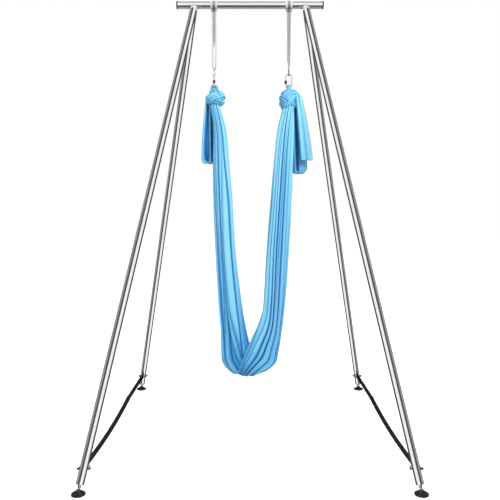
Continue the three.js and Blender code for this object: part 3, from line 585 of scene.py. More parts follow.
def tape(path, across, sections, closed=False):
    """A tape along a path. Returns its part and UV in metres."""
    path = np.asarray(path, float)
    across = np.broadcast_to(np.asarray(across, float), path.shape)
    rings = laid(path, sections, across, unit(np.cross(across, tangents_of(path, closed))))
    uv = np.stack(np.broadcast_arrays(sections[..., 0], run_length(path)[:, None]), -1)
    return loft(rings, closed), uv.reshape(-1, 2)


def strap_path(half_span):
    """The CAD strap's line: round each bail's bar and back under itself, and over the buckle."""
    loop, fold = STRAP_LEVEL, 95 * mm
    under = -2 * STRAP_HALF - FIT_GAP
    taper = 2 * (loop - under - STRAP_HALF)
    climb, reach, crest = loop + 5.6 * mm, 5.5 * mm, 3.3 * mm

    def turn(centre, facing):
        angles = np.linspace(-math.pi / 2, math.pi / 2, 13)
        return [(centre + facing * loop * math.cos(a), loop * math.sin(a)) for a in angles]

    path = [(half_span - fold, loop + under), (half_span - taper - 2 * loop, loop + under)]
    path += turn(half_span, 1)
    path += [(half_span - taper, loop), (BUCKLE_Y + reach + crest, loop)]
    path += [(BUCKLE_Y + crest, climb), (BUCKLE_Y - crest, climb)]
    path += [(BUCKLE_Y - reach - crest, loop), (-half_span + taper, loop)]
    path += turn(-half_span, -1)[::-1]
    path += [(-half_span + taper + 2 * loop, loop + under), (-half_span + fold, loop + under)]
    return path


def stitch_row(start, finish, lift, count):
    """Short raised stitches along a line, as six-point beads."""
    start, finish = np.array(start, float), np.array(finish, float)
    along = (finish - start) / count
    side = unit(np.cross(along, lift)) * 0.35 * mm
    up = unit(lift) * 0.35 * mm
    parts = []
    for i in range(count):
        a, b = start + along * (i + 0.12), start + along * (i + 0.88)
        middle = (a + b) / 2
        points = [a, b, middle + side, middle + up, middle - side, middle - up]
        faces = [(0, 2, 3), (0, 3, 4), (0, 4, 5), (0, 5, 2), (1, 3, 2), (1, 4, 3), (1, 5, 4), (1, 2, 5)]
        parts.append((points, faces))
    return parts


def make_floor_straps():
    """Straps that sag between the bails, their sewn ends with a stitched box and its two diagonals."""
    for name, side in SIDES:
        x, y, _ = bolt_point(leg_frame(side, 1)[0])
        half_span = y - BAIL_REACH
        path = np.array(rounded(strap_path(half_span), 2.5 * mm, 3))
        fine = np.concatenate([np.linspace(a, b, 12, endpoint=False) if np.linalg.norm(b - a) > 0.2 else [a]
                               for a, b in zip(path, path[1:])] + [path[-1:]])
        along, height = fine.T
        share = np.clip(np.sin(math.pi * (along + half_span) / (half_span + BUCKLE_Y)), 0, 1)
        slack = STRAP_SLACK * share ** 0.95
        slack[(along > BUCKLE_Y - 12 * mm) | (along < -half_span + 100 * mm)] = 0
        line = np.stack([np.full(len(fine), x), along, STRAP_Z + height - slack], 1)
        part, uv = tape(line, (1, 0, 0), tape_section(STRAP_WIDTH, STRAP_THICKNESS))
        build(f"strap_{name}", [part], strap_web, "stand", [f"floor_strap_{name}"], uv=uv, solid=False)
        stitches = []
        top, half = STRAP_Z + STRAP_LEVEL + STRAP_HALF, 9 * mm
        for end in (-1, 1):
            near, far = end * (half_span - 88 * mm), end * (half_span - 46 * mm)
            p = [(x - half, near, top), (x + half, near, top), (x + half, far, top), (x - half, far, top)]
            for a, b in [(0, 1), (1, 2), (2, 3), (3, 0), (0, 2), (1, 3)]:
                stitches += stitch_row(p[a], p[b], (0, 0, 1), 6 if abs(a - b) == 1 and a % 2 == 0 else 12)
        build(f"stitching_{name}", stitches, strap_web, "stand")
        make_buckle(name, x)


def make_buckle(name, x):
    """Three-bar slide: a bevelled frame with two slots, on the middle of the strap's climb."""
    bar_r = 1.5 * mm
    centre = np.array([x, BUCKLE_Y, STRAP_Z + STRAP_LEVEL + STRAP_HALF + FIT_GAP + bar_r])
    corners = [(-17.5, 0), (-17.5, -15), (17.5, -15), (17.5, 15), (-17.5, 15), (-17.5, 0)]
    ring = [centre + (a, b, 0) for a, b in outline_mm(corners, 4, steps=6)[:-1]]
    section = disc(bar_r, 12) * (1.0, 1.25)
    edge = swept([p + unit(centre - p) * 2 * mm for p in ring], section, (0, 0, 1), closed=True)
    bar = swept([centre + (a * mm, 0, 0) for a in np.linspace(-15.5, 15.5, 12)], section, (0, 0, 1))
    build(f"buckle_{name}", [edge, bar], plastic, "stand", [f"strap_buckle_{name}"])


# Slings: widths in mm at five places on the way down, and how far the tape turns on its way and at its end
SLING = {
    "left": {"widths": (38, 37, 27, 26, 24), "turn": 0.0, "end": 0.0},
    "right": {"widths": (27, 27, 25, 22, 16), "turn": 0.66, "end": math.pi / 2},
}
SLING_TOP, SLING_LOW, STRAND_GAP = BEAM_Z - 34 * mm, EYE_Z + 36 * mm, 1.35 * mm
SLING_HALF, PLEAT_DEPTH = 0.95 * mm, 2.4 * mm
HITCH_SPREAD, HITCH_NARROW = 13.4 * mm, 6.4 * mm
BIGHT_HALF_WIDTH, BIGHT_HALF_DEPTH, BIGHT_TAPE = 20 * mm, 7.5 * mm, 12 * mm


def sling_painted_shade(name, share, u):
    """Painted shade on the tape: on the left a dark middle higher up and dark edges lower down; on the right
    darker all over, as a tape turned away from the light.
    """
    middle = np.exp(-(u / 0.6) ** 6) * (0.75 + 0.25 * np.cos(u * 9))
    if name == "left":
        upper, lower, mix = 0.24 + 0.62 * middle, 0.5 - 0.5 * middle, smooth_step(share, 0.52, 0.66)
    else:
        upper, lower, mix = 0.66 + 0.15 * middle, 0.55 + 0.25 * middle, smooth_step(share, 0.4, 0.8)
    return upper * (1 - mix) + lower * mix


def hitch_wrap(x0, s):
    """One turn of tape round the beam, on the left (s is -1) or right side of the hitch."""
    theta = full_turn(72)
    hang = (np.clip(-np.sin(theta), 0, 1) ** 2)[:, None]
    path = np.stack([x0 + s * (HITCH_SPREAD - HITCH_NARROW * hang[:, 0]), HITCH_R * np.cos(theta),
                     BEAM_Z + HITCH_R * np.sin(theta)], 1)
    section = np.repeat(tape_section(HITCH_TAPE, HITCH_THICKNESS, 13)[None], len(theta), 0)
    ripple = 0.6 * mm * np.sin(section[..., 0] / HITCH_TAPE * 2 * math.pi * 2.5 + s)
    section[..., 1] += ripple * (0.3 + hang)
    section[..., 0] *= 1 - 0.3 * hang
    inner = smooth_step(-s * section[..., 0] / (HITCH_TAPE / 2), -0.1, 0.9)
    # Painted shadow: darker along the inner edge and lower down, where the two turns meet in the V under the
    # beam.
    painted_tape_shade = 0.36 + 0.2 * hang + 0.9 * inner * (0.5 + hang)
    return *tape(path, (1, 0, 0), section, closed=True), painted_tape_shade


def hitch_bight(x0):
    """The flat ring of tape under the beam that the two strands come out of."""
    theta = full_turn(64)
    path = np.stack([x0 + BIGHT_HALF_WIDTH * np.cos(theta), BIGHT_HALF_DEPTH * np.sin(theta),
                     BEAM_Z - 33.2 * mm + 1.0 * mm * np.cos(2 * theta)], 1)
    u = np.linspace(-1, 1, 13)
    section = pleated_section(u, BIGHT_TAPE, 0.9 * mm, 1.1 * mm * np.sin(u * math.pi * 3))
    # Painted shadow: darker in the middle of the bight, under the V between the turns.
    painted_tape_shade = np.repeat(0.45 + 0.5 * np.exp(-(np.cos(theta) / 0.4) ** 2)[:, None], len(section), 1)
    return *tape(path, (0, 0, 1), section, closed=True), painted_tape_shade


def sling_line(name):
    """The middle line of the stitched loop, from under the hitch down, through the eye and up again,
    with the way across the tape, the share of the way down and the number of points at the eye."""
    x0, turn, end = HANG_X[name], SLING[name]["turn"], SLING[name]["end"]
    share = np.linspace(0, 1, 60)
    angle = np.interp(share, [0, 0.16, 0.32, 0.86, 0.94, 1], [0, turn / 2, turn, turn, (turn + end) / 2, end])
    strand = around(STRAND_GAP, angle - math.pi / 2, SLING_TOP + (SLING_LOW - SLING_TOP) * share)
    front, back = strand + (x0, 0, 0), (strand * (-1, -1, 1) + (x0, 0, 0))[::-1]
    way = np.array([math.cos(end), math.sin(end), 0])
    bend = np.linspace(0, math.pi, 21)[:, None]
    eye = (x0, 0, EYE_Z) - EYE_HALF_WIDTH * np.cos(bend) * way - EYE_DROP * np.sin(bend) * (0, 0, 1)
    down_leg = [front[-1] * (1 - t) + eye[0] * t for t in (0.35, 0.7)]
    up_leg = [eye[-1] * (1 - t) + back[0] * t for t in (0.3, 0.65)]
    path = np.concatenate([front, down_leg, eye, up_leg, back])
    lower = len(path) - 2 * len(front)
    across = around(1.0, angle, 0)
    across = np.concatenate([across, np.repeat([[-way[1], way[0], 0.0]], lower, 0), -across[::-1]])
    return path, across, share, lower


def both_ways(values, between, count):
    """A column of values for the front strand, one value at the eye, and the first ones back up."""
    return np.concatenate([values, np.full(count, between), values[::-1]])[:, None]


def make_sling(name):
    """A stitched loop of tape: girth-hitched on the beam, its lower end gathered in the eye."""
    x0 = HANG_X[name]
    path, across, share, lower = sling_line(name)
    width = np.interp(share, [0, 0.32, 0.86, 0.94, 1], SLING[name]["widths"]) * mm
    widths = both_ways(width, EYE_TAPE, lower)
    gather = both_ways(np.interp(np.arange(60), [52, 59], [0, 1]), 1.0, lower)
    u = np.linspace(-1, 1, 25)
    pleat = (gather - 0.5 * (widths < 11 * mm)) * PLEAT_DEPTH * np.sin(u * math.pi * 3.5)
    section = pleated_section(u, widths, SLING_HALF * (1 - 0.25 * gather), pleat)
    painted_tape_shade = sling_painted_shade(name, both_ways(share, 1.0, lower), np.concatenate([u, u[::-1]]))
    pieces = [(*tape(path, across, section), painted_tape_shade), hitch_wrap(x0, -1), hitch_wrap(x0, 1), hitch_bight(x0)]
    parts, uvs, painted_tape_shades = zip(*pieces)
    build(f"sling_tape_{name}", parts, sling_web, "slings", [f"sling_{name}"], uv=np.concatenate(uvs),
          layers={"painted_tape_shade": np.concatenate([t.ravel() for t in painted_tape_shades])}, solid=False)
    stitches = []
    for k in range(-2, 3):
        start = path[38] + np.array([1.4 * k - 7, -1.3, 0]) * mm
        stitches += stitch_row(start, start + (0, 0, 24 * mm), (0, -1, 0), 9)
    build(f"bar_tack_{name}", stitches, strap_web, "slings")


# Carabiners

GATE_R, CHEEK_Y, SLEEVE_R = 4.7 * mm, 3.3 * mm, 8.4 * mm


def hang_frame(name):
    """Origin, X, Y, Z of a carabiner: the gate is on its -X side."""
    x = np.array([0.0, 1, 0] if name == "left" else [1.0, 0, 0])
    return np.array([HANG_X[name], 0, CARABINER_Z]), x, np.cross((0, 0, 1), x), np.array([0, 0, 1.0])


def make_carabiner(name):
    """The body: round bar bent to a D, open at the gate, with the tongue between the gate's cheeks."""
    at = hang_frame(name)

    def arc(centre, start, stop):
        return [(ARC_R * math.cos(a), centre + ARC_R * math.sin(a)) for a in np.linspace(start, stop, 20)]

    line = [(-ARC_R, NOSE), (-ARC_R, -STRAIGHT + 2 * mm), *arc(-STRAIGHT, math.pi, 2 * math.pi)]
    line += [(ARC_R, z) for z in np.linspace(-STRAIGHT + 4 * mm, STRAIGHT - 4 * mm, 8)]
    line += [*arc(STRAIGHT, 0, math.pi), (-ARC_R, HINGE + 5 * mm)]
    bar = swept(placed([(x, 0, z) for x, z in line], at), disc(BAR_R, 28), at[2])
    tongue_line = placed([(-ARC_R, 0, z) for z in np.linspace(HINGE + 6 * mm, HINGE - 3.8 * mm, 6)], at)
    tongue = swept(tongue_line, flattened(0.6) * (1.65 * mm, 4.4 * mm), at[2])
    build(f"carabiner_body_{name}", [bar, tongue], polished, "hammock", [f"carabiner_{name}"])
    make_gate(name, at)


def flattened(power):
    """A circle of radius 1 that is squared off: the more, the smaller the power."""
    circle = disc(1.0)
    return np.sign(circle) * np.abs(circle) ** power


def make_gate(name, at):
    """The gate: a stem, a pin, and forked cheeks on both sides of the body's tongue."""
    origin, x, y, z = at
    origin = origin - x * ARC_R
    gate_at = (origin, x, y, z)
    bottom = NOSE + 0.5 * mm
    top = HINGE - 5.5 * mm
    parts = [lathe(rounded([(0, bottom), (GATE_R, bottom), (GATE_R, top), (0, top)], EDGE), gate_at, 40)]
    widths = np.array([(1.15, 3.9), (1.15, 4.1), (1.1, 2.9), (0.8, 1.4)]) * mm
    for s in (-1, 1):
        cheek_line = [origin + y * s * CHEEK_Y + z * (HINGE + h * mm) for h in (-7, 0, 3.6, 5)]
        parts.append(swept(cheek_line, flattened(0.7) * widths[:, None], y))
    pin = outline_mm([(0, -4.6), (1.5, -4.6), (1.5, 4.6), (0, 4.6)], 0.4)
    parts.append(lathe(pin, (origin + z * HINGE, x, z, y), 24))
    build(f"gate_stem_{name}", parts, polished, f"gate_{name}", [f"carabiner_gate_{name}"])
    make_sleeve(name, gate_at, bottom)


def make_sleeve(name, gate_at, bottom):
    """The knurled sleeve that screws over the nose. Three grooves run round its knurling."""
    angles = full_turn(120)
    corners = [(5.3, 0), (7.8, 0), (8.4, 1.2), (8.4, 20.8), (7.8, 22), (5.3, 22), (5.3, 0)]
    outline = outline_mm(corners, 0.6, bottom)
    rings = [around(radius, angles, height) for radius, height in outline]
    flute = 0.35 * mm * (0.5 + 0.5 * np.cos(angles * 30))
    band = []
    for h in (2.6, 3.2, 6.8, 7.4, 8.0, 10.4, 11.0, 11.6, 14.0, 14.6, 15.2, 18.8, 19.4):
        groove = 0.45 * mm if h in (7.4, 11.0, 14.6) else 0.0
        band.append(around(SLEEVE_R - groove - (flute if 2.6 < h < 19.4 else 0), angles, bottom + h * mm))
    outer = [k for k, (radius, _) in enumerate(outline) if radius > 8.3 * mm]
    cut = outer[len(outer) // 2]
    sleeve = framed(rings[:cut] + band + rings[cut:], gate_at)
    build(f"sleeve_{name}", [sleeve], anodised, f"sleeve_{name}", [f"screw_sleeve_{name}"])


# Hammock cloth

# The loop is one gathered cloth in two halves that twist round each other once. Each row has the half's
# first edge (outer on the left, inner on the right) and second edge as x, z, then its depth and half its
# thickness. In the two upright parts one last number gives both.
# One half hangs in front on the right and crosses in front at the bottom, the other on the left.
LEFT_EDGES = [
    [-1.12, 1.014, -0.86, 1.014, 0.4], [-1.04, 0.925, -0.68, 0.925, 0.5],
    [-1.064, 0.801, -0.584, 0.801, 0.55], [-1.056, 0.668, -0.492, 0.668, 0.58],
    [-1.000, 0.482, -0.412, 0.482, 0.6], [-0.924, 0.293, -0.256, 0.293, 0.66],
    [-0.86, 0.185, -0.17, 0.218, 0.78],
]
RIGHT_EDGES = [
    [0.22, 0.225, 0.888, 0.168, 0.78], [0.32, 0.293, 0.972, 0.293, 0.66],
    [0.392, 0.482, 1.052, 0.482, 0.6], [0.512, 0.668, 1.096, 0.668, 0.58],
    [0.6, 0.801, 1.128, 0.801, 0.55], [0.7, 0.925, 1.16, 0.925, 0.5],
    [0.86, 1.014, 1.16, 1.014, 0.4],
]
CROSSING = {
    1: [
        [-0.8, 0.097, -0.096, 0.15, 0.58, 0.36], [-0.755, 0.058, -0.027, 0.095, 0.7, 0.3],
        [-0.589, 0.032, 0.041, 0.03, 0.52, 0.28], [-0.493, 0.017, 0.137, 0.014, 0.0, 0.28],
        [-0.425, 0.037, 0.288, 0.024, -0.52, 0.28], [-0.329, 0.073, 0.507, 0.034, -0.7, 0.29],
        [-0.211, 0.111, 0.74, 0.056, -0.66, 0.34], [-0.055, 0.15, 0.812, 0.1, -0.54, 0.4],
    ],
    -1: [
        [-0.849, 0.112, -0.082, 0.16, -0.42, 0.38], [-0.822, 0.061, 0.027, 0.108, -0.42, 0.3],
        [-0.61, 0.024, 0.151, 0.057, -0.36, 0.25], [-0.425, 0.016, 0.26, 0.034, 0.0, 0.24],
        [-0.233, 0.034, 0.37, 0.028, 0.36, 0.25], [-0.11, 0.077, 0.575, 0.041, 0.42, 0.3],
        [-0.027, 0.12, 0.74, 0.069, 0.45, 0.36],
    ],
}
LOOP_FOLDS, LOOP_WAVES, FOLD_SPREAD, SLIT = 12, 2.0, 0.42, 0.16
CENTRE_SHARE, THICKNESS_SHARE = 0.45, 0.56


def pleated_ring(shares, folds, waves, valley=(0.05, 0.4), low_tip=0.8, cap=15, side=4):
    """Rings of (angle, radius, painted cloth shade) for a bundle of gathered cloth: deep slits between
    rounded folds.

    Every fold goes in to its own valley radius, round its tip, and back; widths and depths drift
    along the bundle, so folds grow, shrink and run out as they do in hanging cloth. The painted cloth
    shade is near 0 on a high fold's crown and 1 down in a slit; low folds and the creases on broad
    folds get more of it too. It is shade painted into the colour.
    """
    widths = np.clip(np.exp(FOLD_SPREAD * rng.standard_normal(folds)), 0.4, 2.4)
    widths = widths * (1 + 0.25 * drift(shares, waves, folds))
    widths *= 2 * math.pi / widths.sum(1, keepdims=True)
    halves = widths / 2
    centres = np.cumsum(widths, 1) - halves
    mean = math.pi / folds
    level = np.clip(0.55 + 0.6 * drift(shares, waves, folds), 0, 1)
    tip = low_tip + (1.0 - low_tip) * level
    depth = np.clip(0.5 + 0.6 * drift(shares, waves, folds + 1), 0, 1) ** 2
    feet = valley[0] + (valley[1] - valley[0]) * depth
    lean = 0.35 * drift(shares, waves, folds)
    crease = 0.42 + 0.3 * drift(shares, waves, folds)
    rings = []
    for k in range(folds):
        c, h, t = centres[:, k], halves[:, k], tip[:, k]
        wall = np.maximum(h - SLIT * mean, 0.6 * h)
        height = np.minimum(0.26 * (h / mean) ** 0.7, 0.8 * (t - valley[1]))

        # The walls down into a slit get painted shade near 1.
        def flank(way, foot, steps):
            for s in steps:
                angle = c + way * (h + (wall - h) * s ** 0.5)
                rings.append((angle, foot + (t - height - foot) * s, 1 - 0.15 * s))

        steps = np.linspace(0, 1, side, endpoint=False)
        flank(-1, feet[:, k], steps)
        for g in np.linspace(0, math.pi, cap):
            lines = sum(np.exp(-((g / math.pi - crease[:, k] - more) / 0.06) ** 2) for more in (0, 0.3))
            dent = 0.4 * height * lines * smooth_step(h, 0.95 * mean, 1.2 * mean)
            angle = c - wall * math.cos(g) + lean[:, k] * wall * math.sin(g) * 0.6
            # Painted shade: darker on low folds, toward the slits and along the creases.
            painted_cloth_shade = 0.4 * (1 - level[:, k]) + 0.75 * (1 - math.sin(g)) ** 1.6 + 1.9 * dent / height
            rings.append((angle, t - height + height * math.sin(g) ** 0.75 - dent, painted_cloth_shade))
        flank(1, feet[:, k + 1], steps[::-1])
    return np.array([np.broadcast_arrays(*ring) for ring in rings]).transpose(1, 2, 0)


def cloth_piece(name, rings, painted_cloth_shades, stands_for=()):
    """A sheet through rings of points, with the painted shade of each point, which darkens its colour."""
    steps = np.linalg.norm(np.diff(rings, axis=1), axis=2).mean(0)
    across = np.concatenate([[0], np.cumsum(steps)])
    uv = np.stack(np.meshgrid(across, run_length(rings.mean(1))), 2).reshape(-1, 2)
    part = rings.reshape(-1, 3), grid_faces(*rings.shape[:2], closed=False)
    return build(name, [part], tricot, "hammock", stands_for, sharp=180, uv=uv, layers={"painted_cloth_shade": painted_cloth_shades},
                 solid=False)


def upright_rows(table, side):
    """Rows of a table of edges and depths, with the middle of the depth and half the thickness."""
    return [[*edges, side * CENTRE_SHARE * depth, THICKNESS_SHARE * depth] for *edges, depth in table]


def half_loop(front_side):
    """One half of the loop: front_side is 1 for the half that is in front on the right, -1 for the other."""
    rows = upright_rows(LEFT_EDGES, front_side) + CROSSING[front_side]
    rows += upright_rows(RIGHT_EDGES, -front_side)
    shares = np.linspace(0, 1, 340)
    x1, z1, x2, z2, depth, thickness = curve_through(rows, shares).T
    first, second = [np.stack([LOOP_X + x * LOOP_HALF, depth * LOOP_DEPTH, LOW_POINT + z * LOOP_HEIGHT], 1)
                     for x, z in ((x1, z1), (x2, z2))]
    middle, half = (first + second) / 2, (second - first) / 2
    through = unit(np.cross(np.gradient(middle, axis=0), half)) * (thickness * LOOP_DEPTH)[:, None]
    angles, radii, painted_cloth_shades = pleated_ring(shares, LOOP_FOLDS, LOOP_WAVES)
    # Painted shade: the bottom of the loop, which faces down, gets darker.
    low_shade = 0.33 * np.exp(-((shares - 0.5) / 0.24) ** 4)[:, None]
    section = np.stack([radii * np.sin(angles), radii * np.cos(angles) * front_side], 2)
    return laid(middle, section, half, through), painted_cloth_shades + low_shade


def wrapped_band(shape, normal, offset, width, height, folds, weave):
    """A gathered band round an egg-shaped knot, along the circle where a plane cuts it."""
    centre, size = shape
    shares = np.linspace(0, 1, 90)
    theta = 2 * math.pi * shares
    normal = unit(normal)
    start = unit(np.cross(normal, (0.3, 1.0, 0.2)))
    circle = np.cos(theta)[:, None] * start + np.sin(theta)[:, None] * np.cross(normal, start)
    out = normal * offset + math.sqrt(1 - offset ** 2) * circle
    side = unit(normal - out * (out @ normal)[:, None])
    angles, radii, painted_cloth_shades = pleated_ring(shares, folds, 1.0, (0.55, 0.78), 0.88, cap=7, side=2)
    fade = smooth_step(shares, 0.85, 1.0)[:, None]
    angles, radii = (v * (1 - fade) + v[:1] * fade for v in (angles, radii))
    lift = 0.88 + weave[0] * np.cos(2 * theta + weave[1])
    rings = out[:, None] * (lift[:, None] + height * radii * np.cos(angles))[..., None]
    rings = rings + side[:, None] * (width * radii * np.sin(angles))[..., None]
    return centre + rings * size, painted_cloth_shades


def slanting(angle):
    """Normal of the plane of a band that climbs to the right at an angle across the knot's front."""
    return math.sin(math.radians(angle)), -0.12, -math.cos(math.radians(angle))


# Each band: its slant and offset from the knot's middle, its width, height and folds, and how it weaves
KNOTS = {
    "left": {"size": (0.131, 0.116, 0.120), "shift": 0.009, "bands": [
        (-8, 0.5, 0.34, 0.15, 7, (0.02, 0.4)), (28, -0.12, 0.5, 0.14, 9, (0.03, 2.0)),
        (-62, -0.42, 0.3, 0.16, 6, (0.0, 0.0)),
    ]},
    "right": {"size": (0.122, 0.116, 0.146), "shift": -0.005, "bands": [
        (52, -0.5, 0.24, 0.13, 5, (0.03, 0.0)), (50, -0.02, 0.24, 0.14, 5, (0.04, 1.2)),
        (48, 0.46, 0.24, 0.13, 5, (0.03, 2.4)), (-38, 0.34, 0.24, 0.15, 5, (0.05, 2.0)),
        (-42, -0.16, 0.22, 0.13, 5, (0.05, 0.4)),
    ]},
}


def knot_core(centre, size):
    """The gathered ball inside the bands."""
    tilt = math.pi * (np.linspace(0, 1, 40) - 0.5) * 0.96
    angles, radii, painted_cloth_shades = pleated_ring(tilt, 12, 0.4, (0.75, 0.85), 0.92, cap=7, side=2)
    girth = np.maximum(np.cos(tilt), 0.36 * (tilt > 0))[:, None] * radii * 0.9
    return centre + around(girth, angles, np.sin(tilt)[:, None]) * size, painted_cloth_shades


def knot_arch(name):
    """The strand that goes up out of the knot, over the carabiner's lower arc and down again."""
    bend, bar_z = BAR_R + 10.8 * mm, CARABINER_Z - STRAIGHT - ARC_R
    climb = np.linspace(-34 * mm, 0, 8)
    line = [(bend - 0.16 * z, z) for z in climb]
    line += [(bend * math.cos(a), bend * math.sin(a)) for a in np.linspace(0, math.pi, 25)[1:-1]]
    line += [(-bend + 0.16 * z, z) for z in climb[::-1]]
    across = np.array([1.0, 0, 0] if name == "left" else [0, 1.0, 0])
    path = np.array([(HANG_X[name], 0, bar_z + z) + across * n for n, z in line])
    shares = np.linspace(0, 1, len(path))
    angles, radii, painted_cloth_shades = pleated_ring(shares, 8, 1.0, (0.55, 0.8), 0.9, cap=7, side=2)
    below = np.maximum(bar_z - path[:, 2], 0)[:, None]
    swell = (10 * mm + 0.24 * below) * radii
    broad = 1.0 if name == "left" else 1.3 + 16 * below
    section = np.stack([broad * swell * np.cos(angles), swell * np.sin(angles)], 2)
    return laid(path, section, *carried_frames(path, np.cross(across, (0, 0, 1)))), painted_cloth_shades


def make_knot(name):
    spec = KNOTS[name]
    size = np.array(spec["size"]) / 2
    centre = np.array([HANG_X[name] + spec["shift"], 0, CARABINER_Z - 55 * mm - size[2]])
    pieces = []
    for k, (angle, *band) in enumerate(spec["bands"]):
        rings, painted_cloth_shades = wrapped_band((centre, size), slanting(angle), *band)
        stands_for = [f"hammock_knot_{name}"] if k == 0 else []
        pieces.append(cloth_piece(f"knot_band_{k + 1}_{name}", rings, painted_cloth_shades, stands_for))
    pieces.append(cloth_piece(f"knot_core_{name}", *knot_core(centre, size)))
    pieces.append(cloth_piece(f"knot_arch_{name}", *knot_arch(name)))
    return pieces


# Hanging ends, in mm: height, then an outline of x, y and how much painted shade each point gets: more down
# in folds and on the back flap, which hangs in shadow.
TAILS = {
    "left": [
        (2285, [(-262, 20, 1), (-292, 12, .4), (-299, -2, .1), (-291, -10, 0), (-284, 8, .9), (-276, 12, 1),
         (-270, -12, .1), (-266, -14, 0), (-262, 6, .9), (-257, 8, 1), (-247, -8, .2), (-241, 30, .9),
         (-262, 40, .3), (-280, 44, .2)]),
        (2150, [(-268, 40, 1), (-308, 34, .4), (-315, 16, .1), (-306, 4, 0), (-297, 24, .9), (-285, 36, 1),
         (-276, 16, .1), (-270, 6, 0), (-264, 22, .9), (-258, 30, 1), (-246, 20, .3), (-239, 50, .9),
         (-268, 66, .3), (-290, 64, .2)]),
        (2010, [(-272, 56, 1), (-320, 52, .4), (-329, 34, .1), (-319, 20, 0), (-307, 38, .9), (-288, 62, 1),
         (-277, 40, .2), (-270, 28, 0), (-264, 46, .9), (-257, 56, 1), (-246, 38, .3), (-239, 66, .9),
         (-268, 92, .3), (-298, 88, .2)]),
        (1900, [(-274, 66, 1), (-322, 64, .4), (-334, 44, .1), (-325, 28, 0), (-309, 46, .9), (-288, 74, 1),
         (-277, 46, .2), (-269, 32, 0), (-263, 50, .9), (-257, 62, 1), (-246, 46, .3), (-240, 74, .9),
         (-270, 100, .3), (-300, 98, .2)]),
        (1872, [(-276, 70, 1), (-316, 66, .4), (-330, 48, .1), (-322, 34, 0), (-308, 36, .5),
         (-290, 52, .8), (-278, 42, .2), (-270, 34, 0), (-263, 44, .6), (-257, 54, .8), (-252, 50, .3),
         (-250, 72, .9), (-272, 94, .3), (-298, 92, .2)]),
        (1855, [(-282, 68, 1), (-306, 64, .4), (-318, 54, .1), (-312, 44, 0), (-302, 38, 0), (-291, 40, 0),
         (-281, 46, .3), (-272, 44, .1), (-265, 44, .2), (-260, 50, .3), (-256, 54, .3), (-255, 66, .9),
         (-276, 80, .3), (-294, 80, .2)]),
    ],
    "right": [
        (2350, [(287, 8, 1), (286, 7, .6), (287, 5, .3), (291, 3, .2), (296, 4, .4), (300, 3, .2),
         (303, 5, .2), (304, 8, .3), (303, 10, .6), (299, 11, .3), (293, 10, .5)]),
        (2338, [(288, 22, 1), (282, 10, .6), (285, -2, .3), (293, -8, .2), (300, -4, .4), (306, -10, .2),
         (313, -6, .2), (317, 6, .3), (313, 18, .6), (305, 24, .3), (296, 26, .5)]),
        (2300, [(312, 14, 1), (301, 0, .6), (304, -14, .2), (312, -22, .1), (321, -16, .4), (330, -24, .1),
         (341, -18, .1), (347, -2, .1), (341, 12, .6), (331, 18, .3), (321, 20, .5)]),
        (2210, [(326, 2, 1), (314, -14, .5), (318, -30, .1), (328, -36, 0), (337, -28, .2), (348, -36, 0),
         (360, -30, 0), (370, -10, .1), (361, 8, .6), (348, 12, .3), (337, 9, .5)]),
        (2090, [(340, -6, 1), (325, -20, .4), (330, -36, 0), (343, -44, 0), (355, -32, .3), (369, -43, 0),
         (384, -36, 0), (394, -14, .1), (386, 6, .6), (369, 8, .3), (354, 4, .5)]),
        (1960, [(352, -10, 1), (337, -24, .4), (342, -39, 0), (357, -47, 0), (371, -33, .3), (386, -45, 0),
         (404, -38, 0), (416, -16, .1), (406, 4, .6), (386, 6, .3), (368, 0, .5)]),
        (1874, [(358, -12, 1), (345, -24, .4), (351, -36, 0), (366, -42, 0), (380, -29, .3), (394, -40, 0),
         (413, -33, 0), (427, -14, .1), (413, 0, .6), (391, 2, .3), (373, -4, .5)]),
    ],
    "right_back": [
        (2312, [(290, 22, 1), (286, 20, .8), (288, 16, .7), (293, 14, .7), (299, 18, 1), (304, 14, .6),
         (309, 16, .7), (312, 20, .7), (308, 25, .6), (300, 27, .5)]),
        (2300, [(284, 30, 1), (272, 20, .8), (278, 6, .7), (289, 0, .7), (299, 12, 1), (309, 0, .6),
         (321, 6, .7), (330, 20, .7), (320, 34, .6), (302, 40, .5)]),
        (2140, [(290, 46, 1), (272, 34, .8), (280, 12, .7), (296, 4, .6), (308, 30, 1), (320, 8, .7),
         (336, 12, .7), (350, 30, .7), (334, 52, .6), (310, 60, .5)]),
        (1960, [(300, 54, 1), (278, 42, .8), (287, 16, .7), (304, 8, .6), (319, 40, 1), (334, 14, .7),
         (356, 16, .7), (380, 38, .6), (358, 62, .6), (322, 72, .5)]),
        (1830, [(306, 52, 1), (286, 42, .8), (294, 18, .7), (308, 6, .5), (322, 38, 1), (338, 10, .5),
         (364, 12, .5), (392, 36, .4), (370, 58, .6), (330, 70, .5)]),
        (1796, [(308, 48, 1), (292, 40, .7), (299, 24, .5), (311, 14, .4), (323, 26, .8), (338, 16, .4),
         (358, 18, .4), (378, 36, .4), (360, 52, .5), (330, 58, .5)]),
        (1784, [(314, 42, 1), (302, 38, .6), (307, 32, .4), (315, 28, .3), (325, 32, .6), (337, 28, .3),
         (350, 30, .3), (362, 38, .4), (350, 46, .5), (330, 50, .5)]),
    ],
}


def tail_rings(levels):
    """Rings down a tail: each level's outline is closed, and curves run through the outlines."""
    table = np.array([[height, *np.ravel(outline + outline[:1])] for height, outline in levels], float)
    shares, across = np.linspace(0, 1, 80), np.linspace(0, 1, 120)
    smooth = curve_through(table, shares)
    rows = [curve_through(row[1:].reshape(-1, 3), across) for row in smooth]
    x, y, painted_cloth_shades = np.array(rows).transpose(2, 0, 1)
    ripple = 1.1 * drift(shares, 1.0, 1) * np.sin(across * 46)
    return np.stack(np.broadcast_arrays(x, y + ripple, smooth[:, :1]), 2) * mm, painted_cloth_shades


